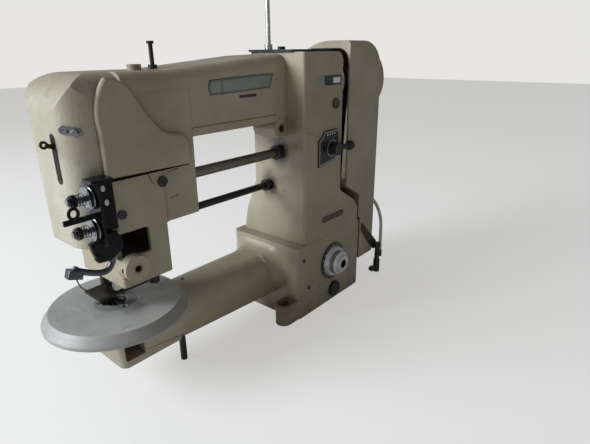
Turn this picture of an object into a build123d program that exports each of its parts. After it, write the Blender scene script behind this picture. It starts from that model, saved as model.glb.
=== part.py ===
from build123d import *

import os
from math import asin, atan2, cos, degrees, hypot, pi, radians, sin, tan

os.makedirs("parts", exist_ok=True)

# Driving dimensions in millimetres. X runs along the arm towards the handwheel,
# Y to the back, Z up; the origin is the centre of the base's footprint.

# Clearances
fit = 0.05                  # radial running clearance of a shaft in its bush
part_gap = 0.3              # air between two pieces that only stand side by side
slide_gap = 0.5             # air around what slides or swings

# Common lines of the machine
work_y = 12.0               # plane of needle, main shaft, hook shaft and bed arm
needle_x = -333.0
main_shaft_z = 352.0
hook_shaft_z = 74.0

# Base
base_length = 173.0
base_depth = 138.0
base_corner_r = 9.0
plinth_height = 39.5
block_top_z = 122.0
base_wall = 9.0
base_front_y = -base_depth / 2
base_back_y = base_depth / 2
base_left_x = -base_length / 2
base_right_x = base_length / 2
lug_r = 13.0
lug_height = 33.0
lug_reach = 16.0            # from the base's left side to the lug's centre
lug_inset = 15.0            # from the base's front to the lug's centre
lug_bolt_r = 4.5
lug_counterbore_r = 8.0
lug_counterbore_depth = 12.0

# Bed arm
bed_width = 78.0
bed_top_z = 103.2
bed_end_x = -356.0
bed_cap_x = -326.0          # seam between the bed arm and its end cap
bed_top_r = 26.0
bed_wall = 7.0
bed_cap_bottom_z = 48.0
bed_bottom_base_z = 40.5
bed_slope_x = -270.0        # the bottom cover ends here and the underside slopes down to the base
bottom_cover_t = 6.5
bed_blend_r = 13.0
leg_x = -259.5
leg_y = -7.0
leg_r = 4.5
leg_grip = 2.0              # how far the leg reaches into the bed's bottom wall
hook_window_bottom_z = 57.0
hook_window_top_z = 84.0

# Round work table
table_top_z = 118.0
table_top_r = 75.5
table_rim_r = 84.0
table_rim_z = 107.5         # where the bevel meets the rim
table_bottom_z = 103.5
table_wall = 4.0
hub_r = 25.0
throat_ring_r = 13.8
feed_slot_x = 5.0           # from the needle to each slot of the feed dog
feed_slot_w = 2.6
feed_slot_y = 8.0           # half length of the slots
feed_travel = 2.5
feed_bar_w = 5.0

# Column
column_left_x = -69.0
column_right_x = 21.0
column_front_y = base_front_y
column_back_y = base_back_y - 31.0
column_top_z = main_shaft_z + 47.0
column_edge_r = 4.0
column_back_r = 15.0
column_top_r = 14.0         # upper corner beside the belt cover
skirt_right_x = base_right_x - 8.5
skirt_back_y = base_back_y - 1.0
skirt_shoulder_z = 158.0
skirt_top_z = 190.0
skirt_back_top_z = 208.0
casting_wall = 8.0

# Arm
arm_front_y = -37.0
arm_back_y = 52.0
arm_bottom_z = main_shaft_z - 44.0
arm_top_z_column = main_shaft_z + 44.0
arm_top_z_head = main_shaft_z + 30.0
arm_edge_r = 14.0
boss_x = -82.0
arm_line_z = arm_bottom_z + 9.5       # shallow groove along the arm's front
arm_line_depth = 0.8
boss_z = arm_bottom_z - 10.0
boss_r = 14.0
boss_hole_r = 5.0

# Head
head_left_x = -379.0
face_plate_x = -346.0       # seam between the face plate and the head casting
head_right_x = -236.0
head_front_y = -38.0
head_back_y = 62.0
head_top_z = arm_top_z_head
head_bottom_z = main_shaft_z - 74.0
face_plate_bottom_z = 210.0
head_corner_r = 30.0
head_top_r = 42.0
head_side_r = 26.0
head_wall = 7.0
corner_cut = 0.55           # inner corner cut over the outer corner's radius
slot_y = -7.5
slot_width = 4.0
slot_bottom_z = head_bottom_z + 2.0
slot_top_z = slot_bottom_z + 45.0

# Lower head block
block_left_x = -344.0
block_right_x = -232.0
block_front_y = -35.0
block_back_y = 55.0
block_step_z = 215.0        # underside of the right part
block_step_x = -279.0       # right side of the low part
block_bottom_z = 154.0
window_left_x = -343.0
window_right_x = -305.0
window_bottom_z = 188.0
window_top_z = 218.0
window_corner_r = 3.0
block_recess = 2.0          # how far the right part stands back from the front plate
nose_boss_x = -331.5
nose_boss_z = 178.5
nose_boss_r = 15.0
nose_boss_reach = 13.0
nose_boss_hole_r = 4.0

# Front cover of the head
front_cover_t = 6.0
front_cover_bottom_z = head_bottom_z + 1.5
front_cover_gap_rise = 2.0  # the lower edge rises towards the head's end
front_cover_right_x = -245.0
front_cover_left_x = -349.0
front_cover_peak_x = -336.0
front_cover_peak_z = head_top_z - 4.0
front_cover_waist_x = -282.0
front_cover_waist_z = head_bottom_z + 47.0
front_cover_shoulder_z = head_bottom_z + 38.0

# Belt cover
cover_left_x = base_right_x - 45.5
cover_right_x = base_right_x + 49.5
cover_front_y = base_front_y + 1.0
cover_back_y = base_back_y - 8.0
cover_top_z = main_shaft_z + 62.0
cover_bottom_z = 47.0
cover_wall = 3.0
cover_top_r = 46.0
cover_back_r = 92.0
cover_heel_x = skirt_right_x + 3.0      # left edge of the cover beside the column's skirt
cover_heel_z = 168.0
cover_mouth_r = 18.0        # upper front corner of its open side

# Main shaft, crank and handwheel
main_shaft_r = 7.0
bush_wall = 4.0
left_bush_x = -302.0
bush_length = 24.0
crank_x = -316.0
crank_t = 10.0
crank_r = 21.0
crank_throw = 10.0
crank_pin_r = 4.0
crank_pin_length = 5.5
link_t = 4.0
link_length = 55.0
link_eye_r = 8.0
handwheel_x = cover_right_x + 16.0
handwheel_width = 24.0
handwheel_r = 63.0
handwheel_rim = 9.0
handwheel_web = 5.0
handwheel_hub_r = 15.0
main_shaft_end_x = handwheel_x + 19.0
pulley_x = base_right_x + 7.5
pulley_width = 13.0
upper_pulley_teeth = 40
lower_pulley_teeth = 20
belt_pitch = 5.08
belt_t = 2.2
belt_width = 10.0
tooth_depth = 1.2
pulley_flange_t = 1.2

# Hook shaft and hook
hook_shaft_r = 5.0
hook_r = 19.0
hook_front_x = -350.0
hook_back_x = -335.0
bobbin_case_r = 14.5
hook_bush_x = -318.0

# Needle bar and presser bar
needle_bar_r = 3.6
needle_clamp_low_z = 145.0
needle_clamp_length = 7.0
needle_clamp_r = 5.2
needle_shank_r = 1.0
needle_tip_z = 123.0
needle_r = 0.6
presser_y = work_y + 18.0
presser_bar_r = 4.0
presser_bar_top_z = 356.0
presser_lift = 4.5
bar_bush_r = 6.5
bar_bush_length = 14.0
foot_gap = 0.4
foot_sole_t = 1.6
foot_width = 9.0
foot_slot_w = 4.4

# Rods between the column and the head
upper_rod_y = -22.0
upper_rod_z = 261.0
upper_rod_r = 6.5
lower_rod_y = 1.0
lower_rod_z = 208.0
lower_rod_r = 5.0
collar_wall = 4.0
collar_length = 12.0

# Feed dial on the base
dial_x = 4.0
dial_z = 72.4
dial_scale_r = 31.0
dial_scale_t = 2.0
dial_drum_r = 26.0
dial_drum_t = 6.0
dial_knob_r = 20.0
dial_knob_t = 8.0
dial_cap_r = 13.5
dial_cap_t = 6.0
dial_bore_r = 7.0
dial_shaft_r = 5.0
dial_shaft_length = 46.0
plug_x = 8.0
plug_z = 19.0
plug_r = 13.5
plug_t = 5.0

# Stitch lever on the column
lever_pivot_x = -5.0
lever_pivot_z = 262.0
lever_plate_left = 33.0     # from the pivot to the plate's left, right, upper and lower edge
lever_plate_right = 18.0
lever_plate_up = 28.0
lever_plate_down = 24.0
lever_plate_t = 2.0
lever_length = 44.0
lever_knob_r = 7.5

# Tension units
tension_x = -368.0          # face of the bracket that carries the studs
tension_y = -44.0
tension_upper_z = 268.5
tension_lower_z = 236.0
tension_disc_r = 12.5
tension_stud_r = 3.0
tension_nut_r = 6.5
tension_plate_t = 2.5
bracket_top_z = tension_upper_z + 15.5
bracket_bottom_z = tension_lower_z - 16.0
bracket_flange_z = bracket_bottom_z + 8.0       # lower edge of the flange on the head
bracket_depth = 21.0        # how far the bracket stands out from the head


def polar(radius, angle):
    """Point at a radius and an angle in degrees."""
    return (radius * cos(radians(angle)), radius * sin(radians(angle)))


# Seams, walls and small shafts
rail_w = feed_slot_w - 0.8
rail_l = 2 * feed_slot_y - 2 * feed_travel - 1
face_wall = 5.0
block_wall = 7.0
block_front_wall = 5.0
block_floor_z = 172.0
cover_edge_r = 7.0
lever_shaft_r = 4.0
thread_pin_x = -250.0
thread_pin_y = 6.0
thread_pin_r = 2.5
thread_pin_collar_r = 5.0
oil_cap_stem_r = 5.0
take_up_x = -336.0
take_up_z = 300.0
take_up_pin_r = 3.5
top_feed_x = -293.0
top_feed_y = -12.0
top_feed_bar_r = 3.5
rocker_t = 7.0
rocker_length = 24.0
fork_t = 5.0
top_plate_t = 3.0
strap_t = 3.0
strap_top_z = 112.0
strap_low_z = 50.0
valve_r = 6.0
valve_bottom_z = 4.0
valve_top_z = 62.0
hose_r = 3.0
stand_rod_x = -57.0
stand_rod_y = 6.0
stand_rod_r = 3.2
stand_rod_length = 90.0
stand_rod_collar_r = 5.5
plate_knob_r = 5.5
oil_cap_x = -276.0
oil_cap_y = 2.0
oil_cap_r = 7.5
sight_plug_x = 4.0
sight_plug_z = 327.0
sight_plug_r = 7.5
guide_arm_r = 3.6


def save(node, label):
    """Label a finished piece and write its STEP file."""
    node.part.label = label
    export_step(node.part, f"parts/{label}.step")


def box_at(x0, x1, y0, y1, z0, z1, mode=Mode.ADD):
    """Box between two corners, in the builder that is open."""
    with Locations(((x0 + x1) / 2, (y0 + y1) / 2, (z0 + z1) / 2)):
        Box(x1 - x0, y1 - y0, z1 - z0, mode=mode)


def bore_x(radius, x0, x1, y, z, mode=Mode.SUBTRACT):
    """Cylinder along X, a bore unless the mode says otherwise."""
    with Locations(((x0 + x1) / 2, y, z)):
        Cylinder(radius, x1 - x0, rotation=(0, 90, 0), mode=mode)


def bore_y(radius, y0, y1, x, z, mode=Mode.SUBTRACT):
    """Cylinder along Y, a bore unless the mode says otherwise."""
    with Locations((x, (y0 + y1) / 2, z)):
        Cylinder(radius, y1 - y0, rotation=(90, 0, 0), mode=mode)


def bore_z(radius, z0, z1, x, y, mode=Mode.SUBTRACT):
    """Cylinder along Z, a bore unless the mode says otherwise."""
    with Locations((x, y, (z0 + z1) / 2)):
        Cylinder(radius, z1 - z0, mode=mode)


# Base plinth: a low cast pan with two hold-down lugs on the bed side
lug_x = base_left_x - lug_reach
lug_neck = lug_reach + base_corner_r
lug_spots = [(lug_x, base_front_y + lug_inset), (lug_x, -base_front_y - lug_inset)]
with BuildPart() as base_plinth:
    with BuildSketch():
        RectangleRounded(base_length, base_depth, base_corner_r)
    extrude(amount=plinth_height)
    with BuildSketch():
        with Locations(*lug_spots):
            Circle(lug_r)
        with Locations(*[(lug_x + lug_neck / 2, y) for _, y in lug_spots]):
            Rectangle(lug_neck, 2 * lug_r)
    extrude(amount=lug_height)
    with BuildSketch(Plane.XY.offset(base_wall)):
        RectangleRounded(base_length - 2 * base_wall, base_depth - 2 * base_wall, base_corner_r)
    extrude(amount=plinth_height - base_wall, mode=Mode.SUBTRACT)
    with Locations(*[(x, y, lug_height) for x, y in lug_spots]):
        CounterBoreHole(lug_bolt_r, lug_counterbore_r, lug_counterbore_depth)
    bore_y(plug_r - 4, base_front_y - 1, base_front_y + base_wall + 1, plug_x, plug_z)
save(base_plinth, "base_plinth")

# Bed casting: gearbox block and the cylinder arm that carries the round table
hook_bush_r = hook_shaft_r + bush_wall
feed_bar_y = work_y + rail_l / 2 + 4
feed_bar_z = bed_top_z - bed_wall - feed_bar_w - 1.2
bed_front_y = work_y - bed_width / 2
bed_back_y = work_y + bed_width / 2
bed_underside_z = bed_cap_bottom_z + bottom_cover_t
block_inner_x = base_left_x + base_wall
with BuildPart() as bed_tube:
    with BuildSketch(Plane.XZ.offset(-bed_back_y)):
        with BuildLine():
            Polyline(
                (bed_cap_x, bed_underside_z),
                (bed_slope_x, bed_underside_z),
                (bed_slope_x, bed_underside_z - 4),
                (block_inner_x, bed_bottom_base_z),
                (block_inner_x, bed_top_z),
                (bed_cap_x, bed_top_z),
                close=True,
            )
        make_face()
    extrude(amount=bed_width)
    fillet(bed_tube.edges().filter_by(Axis.X).group_by(Axis.Z)[-1], bed_top_r)
with BuildPart() as bed_blend:
    for step, grow in ((0, 1.0), (0.45, 0.38), (1.6, 0.02)):
        low_z = bed_bottom_base_z + 1
        high_z = bed_top_z + grow * bed_blend_r
        with BuildSketch(Plane.YZ.offset(base_left_x - step * bed_blend_r)):
            with Locations((work_y, (low_z + high_z) / 2)):
                RectangleRounded(bed_width + 2 * grow * bed_blend_r, high_z - low_z, bed_top_r - 4)
    loft()
with BuildPart() as bed_casting:
    with BuildSketch(Plane.XY.offset(plinth_height)):
        RectangleRounded(base_length, base_depth, base_corner_r)
    extrude(amount=block_top_z - plinth_height)
    add(bed_tube.part)
    add(bed_blend.part)
    with BuildSketch(Plane.YZ.offset(bed_cap_x)):
        with Locations((work_y, (bed_underside_z + bed_top_z) / 2)):
            RectangleRounded(bed_width - 2 * bed_wall, bed_top_z - bed_underside_z - 2 * bed_wall, 14)
    extrude(amount=block_inner_x - bed_cap_x + 1, mode=Mode.SUBTRACT)
    with BuildSketch(Plane.XY.offset(plinth_height)):
        RectangleRounded(base_length - 2 * base_wall, base_depth - 2 * base_wall, base_corner_r)
    extrude(amount=block_top_z - plinth_height - base_wall, mode=Mode.SUBTRACT)
    # Web that carries the hook shaft's left bush, with room for the feed bar
    box_at(hook_bush_x + 6, hook_bush_x + 16, bed_front_y + 2, bed_back_y - 2, bed_underside_z + 2, bed_top_z - 2)
    bore_x(hook_bush_r, hook_bush_x, hook_bush_x + 22, work_y, hook_shaft_z)
    box_at(hook_bush_x, hook_bush_x + 22, feed_bar_y - 2 * feed_travel, feed_bar_y + feed_bar_w + 2 * feed_travel,
           feed_bar_z - slide_gap, bed_top_z - bed_wall, mode=Mode.SUBTRACT)
    bore_x(hook_shaft_r + bush_wall + 4, base_right_x - base_wall - 1, base_right_x + 1, work_y, hook_shaft_z)
    bore_y(dial_shaft_r + fit, base_front_y - 1, base_front_y + base_wall + 1, dial_x, dial_z)
    bore_z(leg_r + fit, plinth_height, bed_underside_z + leg_grip + 1, leg_x, leg_y)
    box_at(bed_cap_x - 1, bed_slope_x - 6, work_y - 12, work_y + 12, bed_underside_z - 5,
           bed_underside_z + bed_wall + 1, mode=Mode.SUBTRACT)
save(bed_casting, "bed_casting")

# End cap of the bed arm: a shell round the hook, open to the front below the table
with BuildPart() as bed_end_cap:
    with BuildSketch(Plane.XY.offset(bed_cap_bottom_z)) as cap_plan:
        with Locations(((bed_end_x + bed_cap_x) / 2, work_y)):
            Rectangle(bed_cap_x - bed_end_x, bed_width)
        fillet(cap_plan.vertices().group_by(Axis.X)[0], 9)
    extrude(amount=bed_top_z - bed_cap_bottom_z)
    with BuildSketch(Plane.YZ.offset(bed_end_x)) as cap_section:
        with Locations((work_y, (bed_cap_bottom_z + bed_top_z) / 2)):
            Rectangle(bed_width, bed_top_z - bed_cap_bottom_z)
        fillet(cap_section.vertices().group_by(Axis.Y)[-1], bed_top_r)
    extrude(amount=bed_cap_x - bed_end_x, mode=Mode.INTERSECT)
    bore_x(hook_r + 3, bed_end_x + 4, bed_cap_x + 1, work_y, hook_shaft_z + 1)
    box_at(bed_end_x + 5, bed_cap_x + 1, bed_front_y - 1, work_y, hook_window_bottom_z,
           hook_window_top_z, mode=Mode.SUBTRACT)
    box_at(needle_x - 8, bed_cap_x + 1, work_y - 9, work_y + 17, hook_shaft_z, bed_top_z + 1,
           mode=Mode.SUBTRACT)
save(bed_end_cap, "bed_end_cap")

# Bottom cover of the bed arm
with BuildPart() as bed_bottom_cover:
    with BuildSketch(Plane.XY.offset(bed_cap_bottom_z)) as bottom_plan:
        with Locations(((bed_cap_x + bed_slope_x) / 2, work_y)):
            Rectangle(bed_slope_x - bed_cap_x, bed_width)
        fillet(bottom_plan.vertices().group_by(Axis.X)[-1], 7)
    extrude(amount=bottom_cover_t)
    bore_z(bush_wall, 0, bed_cap_bottom_z + 3, bed_slope_x - 30, work_y)
save(bed_bottom_cover, "bed_bottom_cover")

# Leg under the bed arm, standing on the same surface as the base
with BuildPart() as support_leg:
    bore_z(leg_r, 0, bed_underside_z + leg_grip, leg_x, leg_y, mode=Mode.ADD)
    chamfer(support_leg.edges().group_by(Axis.Z)[0], 0.8)
save(support_leg, "support_leg")

# Round work table: a spun disc with a bevelled rim, its hub plate and the throat ring
table_seat_z = bed_top_z
with BuildPart() as round_table:
    with BuildSketch(Plane.XZ):
        with BuildLine():
            Polyline(
                (hub_r, table_seat_z),
                (hub_r + 14, table_seat_z),
                (hub_r + 17, table_top_z - table_wall),
                (table_top_r - 3, table_top_z - table_wall),
                (table_rim_r - table_wall, table_rim_z - 1),
                (table_rim_r - table_wall, table_bottom_z),
                (table_rim_r, table_bottom_z),
                (table_rim_r, table_rim_z),
                (table_top_r, table_top_z),
                (hub_r, table_top_z),
                close=True,
            )
        make_face()
    revolve(axis=Axis.Z)
    chamfer(round_table.edges().filter_by(GeomType.CIRCLE).group_by(SortBy.RADIUS)[-1], 1.0)
round_table.part.position = (needle_x, work_y, 0)
save(round_table, "round_table")

with BuildPart() as needle_plate:
    with BuildSketch(Plane.XY.offset(table_seat_z)):
        Circle(hub_r - 0.05)
        Circle(throat_ring_r + fit, mode=Mode.SUBTRACT)
    extrude(amount=table_top_z - table_seat_z)
    with PolarLocations(hub_r - 5.5, 3, start_angle=30):
        with Locations((0, 0, table_top_z)):
            CounterSinkHole(1.6, 3.2, counter_sink_angle=90)
needle_plate.part.position = (needle_x, work_y, 0)
save(needle_plate, "needle_plate")

with BuildPart() as throat_ring:
    with BuildSketch(Plane.XY.offset(table_seat_z + 4)):
        Circle(throat_ring_r)
    extrude(amount=table_top_z - table_seat_z - 4)
    with BuildSketch(Plane.XY.offset(table_top_z)):
        Circle(throat_ring_r - 2.2)
        Circle(throat_ring_r - 3.8, mode=Mode.SUBTRACT)
    extrude(amount=-0.8, mode=Mode.SUBTRACT)
    with BuildSketch(Plane.XY.offset(table_seat_z)):
        SlotOverall(5, 2.4)
        with Locations((-feed_slot_x, 0), (feed_slot_x, 0)):
            Rectangle(feed_slot_w, 2 * feed_slot_y)
    extrude(amount=table_top_z - table_seat_z + 1, mode=Mode.SUBTRACT)
throat_ring.part.position = (needle_x, work_y, 0)
save(throat_ring, "throat_ring")

# Feed dog: two toothed rails on a carrier that hangs from the feed bar
with BuildPart() as feed_dog:
    for side in (-feed_slot_x, feed_slot_x):
        box_at(needle_x + side - rail_w / 2, needle_x + side + rail_w / 2, work_y - rail_l / 2,
               work_y + rail_l / 2, table_seat_z - 3, table_top_z - 0.3)
        for tooth in range(6):
            tooth_y = work_y + (tooth - 2.5) * rail_l / 6
            with Locations((needle_x + side, tooth_y + rail_l / 12, table_top_z - 0.3)):
                Box(rail_w + 1, 0.5, 1.2, rotation=(35, 0, 0), mode=Mode.SUBTRACT)
    box_at(needle_x - feed_slot_x - rail_w / 2, needle_x - 2.4, work_y - rail_l / 2,
           work_y + rail_l / 2, table_seat_z - 7, table_seat_z - 3)
    box_at(needle_x + 2.4, needle_x + feed_slot_x + rail_w / 2, work_y - rail_l / 2,
           work_y + rail_l / 2, table_seat_z - 7, table_seat_z - 3)
    box_at(needle_x - feed_slot_x - rail_w / 2, needle_x + feed_slot_x + rail_w / 2, work_y + rail_l / 2,
           feed_bar_y + feed_bar_w, feed_bar_z + feed_bar_w, table_seat_z - 3)
save(feed_dog, "feed_dog")

with BuildPart() as feed_bar:
    box_at(hook_back_x + 1, bed_slope_x + 40, feed_bar_y, feed_bar_y + feed_bar_w,
           feed_bar_z, feed_bar_z + feed_bar_w)
save(feed_bar, "feed_bar")

# Arm casting: column, arm and the upper half of the head in one casting
with BuildPart() as column_form:
    with BuildSketch(Plane.XZ.offset(-skirt_back_y)):
        with BuildLine():
            shoulder = FilletPolyline(
                (column_right_x, column_top_z),
                (column_right_x, skirt_top_z),
                (skirt_right_x - 14, skirt_shoulder_z + 5),
                (skirt_right_x, skirt_shoulder_z - 14),
                (skirt_right_x, block_top_z),
                radius=10,
            )
            Polyline(shoulder @ 1, (column_left_x, block_top_z), (column_left_x, column_top_z), shoulder @ 0)
        make_face()
    extrude(amount=skirt_back_y - column_front_y)
    with BuildSketch(Plane.YZ.offset(column_left_x)):
        with BuildLine():
            back = FilletPolyline(
                (column_back_y, column_top_z),
                (column_back_y, skirt_back_top_z),
                (skirt_back_y - 8, skirt_shoulder_z),
                (skirt_back_y, block_top_z),
                radius=22,
            )
            Polyline(back @ 1, (column_front_y, block_top_z), (column_front_y, column_top_z), back @ 0)
        make_face()
    extrude(amount=skirt_right_x - column_left_x, mode=Mode.INTERSECT)
    with BuildSketch(Plane.XY.offset(block_top_z)) as column_plan:
        with Locations(((column_left_x + skirt_right_x) / 2, (column_front_y + skirt_back_y) / 2)):
            Rectangle(skirt_right_x - column_left_x, skirt_back_y - column_front_y)
        fillet(column_plan.vertices().group_by(Axis.Y)[0], column_edge_r)
    extrude(amount=column_top_z - block_top_z, mode=Mode.INTERSECT)
    rear_edges = column_form.edges().filter_by(Axis.Z).filter_by(
        lambda e: abs(e.center().X - column_left_x) < 1 and abs(e.center().Y - column_back_y) < 1
    )
    fillet(rear_edges, column_back_r)
    corner = column_form.edges().filter_by(Axis.Y).group_by(Axis.Z)[-1].sort_by(Axis.X)[-1]
    fillet(corner, column_top_r)
with BuildPart() as arm_form:
    with BuildSketch(Plane.XZ.offset(-arm_back_y)):
        with BuildLine():
            under = FilletPolyline(
                (face_plate_x + 30, arm_bottom_z),
                (column_left_x, arm_bottom_z),
                (column_left_x, boss_z - 28),
                radius=26,
            )
            Polyline(
                under @ 1,
                (column_left_x + 20, boss_z - 28),
                (column_left_x + 20, arm_top_z_column),
                (column_left_x - 40, arm_top_z_column - 1.5),
                (head_right_x - 20, arm_top_z_head),
                (face_plate_x + 30, arm_top_z_head),
                under @ 0,
            )
        make_face()
    extrude(amount=arm_back_y - arm_front_y)
    fillet(arm_form.edges().filter_by(lambda e: e.bounding_box().size.X > 60 and e.center().Z > main_shaft_z),
           arm_edge_r)
    # The haunch under the arm ends where the column's rear edge is rounded
    box_at(column_left_x - 30, column_left_x + 21, column_back_y - column_back_r, arm_back_y + 1, boss_z - 29,
           arm_bottom_z, mode=Mode.SUBTRACT)
    box_at(head_right_x - 1, column_left_x - 22, arm_front_y - 1, arm_front_y + arm_line_depth, arm_line_z,
           arm_line_z + 1.2, mode=Mode.SUBTRACT)


def head_form(low_z, left_x, right_x):
    """Outside of the head between two X stations: three rounded profiles crossed."""
    with BuildPart() as form:
        with BuildSketch(Plane.XZ.offset(-head_back_y)) as front_view:
            with Locations(((head_left_x + head_right_x) / 2, (low_z + head_top_z) / 2)):
                Rectangle(head_right_x - head_left_x, head_top_z - low_z)
            fillet(front_view.vertices().sort_by(lambda v: v.Y - v.X)[-1], head_top_r)
        extrude(amount=head_back_y - head_front_y)
        with BuildSketch(Plane.XY.offset(low_z)) as top_view:
            with Locations(((head_left_x + head_right_x) / 2, (head_front_y + head_back_y) / 2)):
                Rectangle(head_right_x - head_left_x, head_back_y - head_front_y)
            fillet(top_view.vertices().group_by(Axis.X)[0], head_corner_r)
        extrude(amount=head_top_z - low_z, mode=Mode.INTERSECT)
        with BuildSketch(Plane.YZ.offset(head_left_x)) as side_view:
            with Locations(((head_front_y + head_back_y) / 2, (low_z + head_top_z) / 2)):
                Rectangle(head_back_y - head_front_y, head_top_z - low_z)
            fillet(side_view.vertices().group_by(Axis.Y)[-1], head_side_r)
        extrude(amount=head_right_x - head_left_x, mode=Mode.INTERSECT)
        box_at(left_x, right_x, head_front_y - 1, head_back_y + 1, low_z - 1, head_top_z + 1,
               mode=Mode.INTERSECT)
    return form.part


def head_hollow(wall, low_z, left_x, right_x):
    """Room inside the head: the same three profiles taken in by the wall, their corners cut off flat."""
    with BuildPart() as room:
        with BuildSketch(Plane.XZ.offset(-head_back_y + wall)) as front_view:
            with Locations(((head_left_x + head_right_x) / 2, (low_z + head_top_z) / 2)):
                Rectangle(head_right_x - head_left_x - 2 * wall, head_top_z - low_z - 2 * wall)
            chamfer(front_view.vertices().sort_by(lambda v: v.Y - v.X)[-1], corner_cut * head_top_r)
        extrude(amount=head_back_y - head_front_y - 2 * wall)
        with BuildSketch(Plane.XY.offset(low_z)) as top_view:
            with Locations(((head_left_x + head_right_x) / 2, (head_front_y + head_back_y) / 2)):
                Rectangle(head_right_x - head_left_x - 2 * wall, head_back_y - head_front_y - 2 * wall)
            chamfer(top_view.vertices().group_by(Axis.X)[0], corner_cut * head_corner_r)
        extrude(amount=head_top_z - low_z, mode=Mode.INTERSECT)
        with BuildSketch(Plane.YZ.offset(head_left_x)) as side_view:
            with Locations(((head_front_y + head_back_y) / 2, (low_z + head_top_z) / 2)):
                Rectangle(head_back_y - head_front_y - 2 * wall, head_top_z - low_z - 2 * wall)
            chamfer(side_view.vertices().group_by(Axis.Y)[-1], corner_cut * head_side_r)
        extrude(amount=head_right_x - head_left_x, mode=Mode.INTERSECT)
        box_at(left_x, right_x, head_front_y - 1, head_back_y + 1, low_z - 1, head_top_z + 1,
               mode=Mode.INTERSECT)
    return room.part


bush_r = main_shaft_r + bush_wall
tunnel_left_x = left_bush_x + bush_length
column_bush_x = column_right_x - casting_wall
guide_low_z = main_shaft_z - 36.0
guide_high_z = guide_low_z + 14.0
guide_left_x = face_plate_x
guide_right_x = needle_x + 9.0
with BuildPart() as arm_casting:
    add(column_form.part)
    add(arm_form.part)
    add(head_form(head_bottom_z, face_plate_x, head_right_x))
    with Locations((boss_x, arm_front_y + 20, boss_z)):
        Cylinder(boss_r, 3 * boss_r, rotation=(90, 0, 0))
    # Hollow of the column, open towards the base
    box_at(column_left_x + casting_wall, column_right_x - casting_wall, column_front_y + casting_wall,
           column_back_y - casting_wall, block_top_z - 1, arm_top_z_column - casting_wall, mode=Mode.SUBTRACT)
    # Tunnel of the arm and hollow of the head
    box_at(tunnel_left_x, column_left_x + casting_wall + 1, arm_front_y + casting_wall,
           arm_back_y - casting_wall, arm_bottom_z + casting_wall, head_top_z - casting_wall - 2,
           mode=Mode.SUBTRACT)
    add(head_hollow(head_wall, head_bottom_z - head_wall - 1, face_plate_x - 1, left_bush_x), mode=Mode.SUBTRACT)
    # Bushes' seats
    bore_x(bush_r, left_bush_x - 1, tunnel_left_x + 1, work_y, main_shaft_z)
    bore_x(bush_r, column_bush_x - 1, column_right_x + 1, work_y, main_shaft_z)
    # Guide web for the needle bar and the presser bar
    box_at(guide_left_x, guide_right_x, work_y - 10, head_back_y - head_wall + 1, guide_low_z, guide_high_z)
    for bar_y in (work_y, presser_y):
        bore_z(bar_bush_r, guide_low_z - 1, guide_high_z + 1, needle_x, bar_y)
    # Bosses for the rods in the column's left wall
    for rod_y, rod_z, rod_r in ((upper_rod_y, upper_rod_z, upper_rod_r), (lower_rod_y, lower_rod_z, lower_rod_r)):
        bore_x(rod_r + collar_wall - 1.5, column_left_x - 1, column_left_x + casting_wall + 1, rod_y, rod_z)
    bore_y(boss_hole_r, arm_front_y - 5, arm_front_y + 12, boss_x, boss_z)
    bore_y(lever_shaft_r + fit, column_front_y - 1, column_front_y + casting_wall + 1, lever_pivot_x, lever_pivot_z)
    bore_z(thread_pin_r, head_top_z - 20, head_top_z + 20, thread_pin_x, thread_pin_y)
    bore_z(thread_pin_collar_r + part_gap, head_top_z, head_top_z + 20, thread_pin_x, thread_pin_y)
    bore_z(oil_cap_stem_r + fit, head_top_z - 4, head_top_z + 1, oil_cap_x, oil_cap_y)
    # Pivot hole of the take-up lever
    bore_y(take_up_pin_r, head_front_y - 1, head_front_y + head_wall + 1, take_up_x, take_up_z)
save(arm_casting, "arm_casting")

# Face plate: the end shell of the head, with the take-up lever's slot
with BuildPart() as face_plate:
    add(head_form(face_plate_bottom_z, head_left_x, face_plate_x))
    add(head_hollow(face_wall, face_plate_bottom_z - face_wall - 1, head_left_x, face_plate_x + 1),
        mode=Mode.SUBTRACT)
    with BuildSketch(Plane.YZ.offset(head_left_x - 1)):
        with Locations((slot_y, (slot_bottom_z + slot_top_z) / 2)):
            SlotOverall(slot_top_z - slot_bottom_z, slot_width, rotation=90)
    extrude(amount=face_wall + 2, mode=Mode.SUBTRACT)
save(face_plate, "face_plate")

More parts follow.
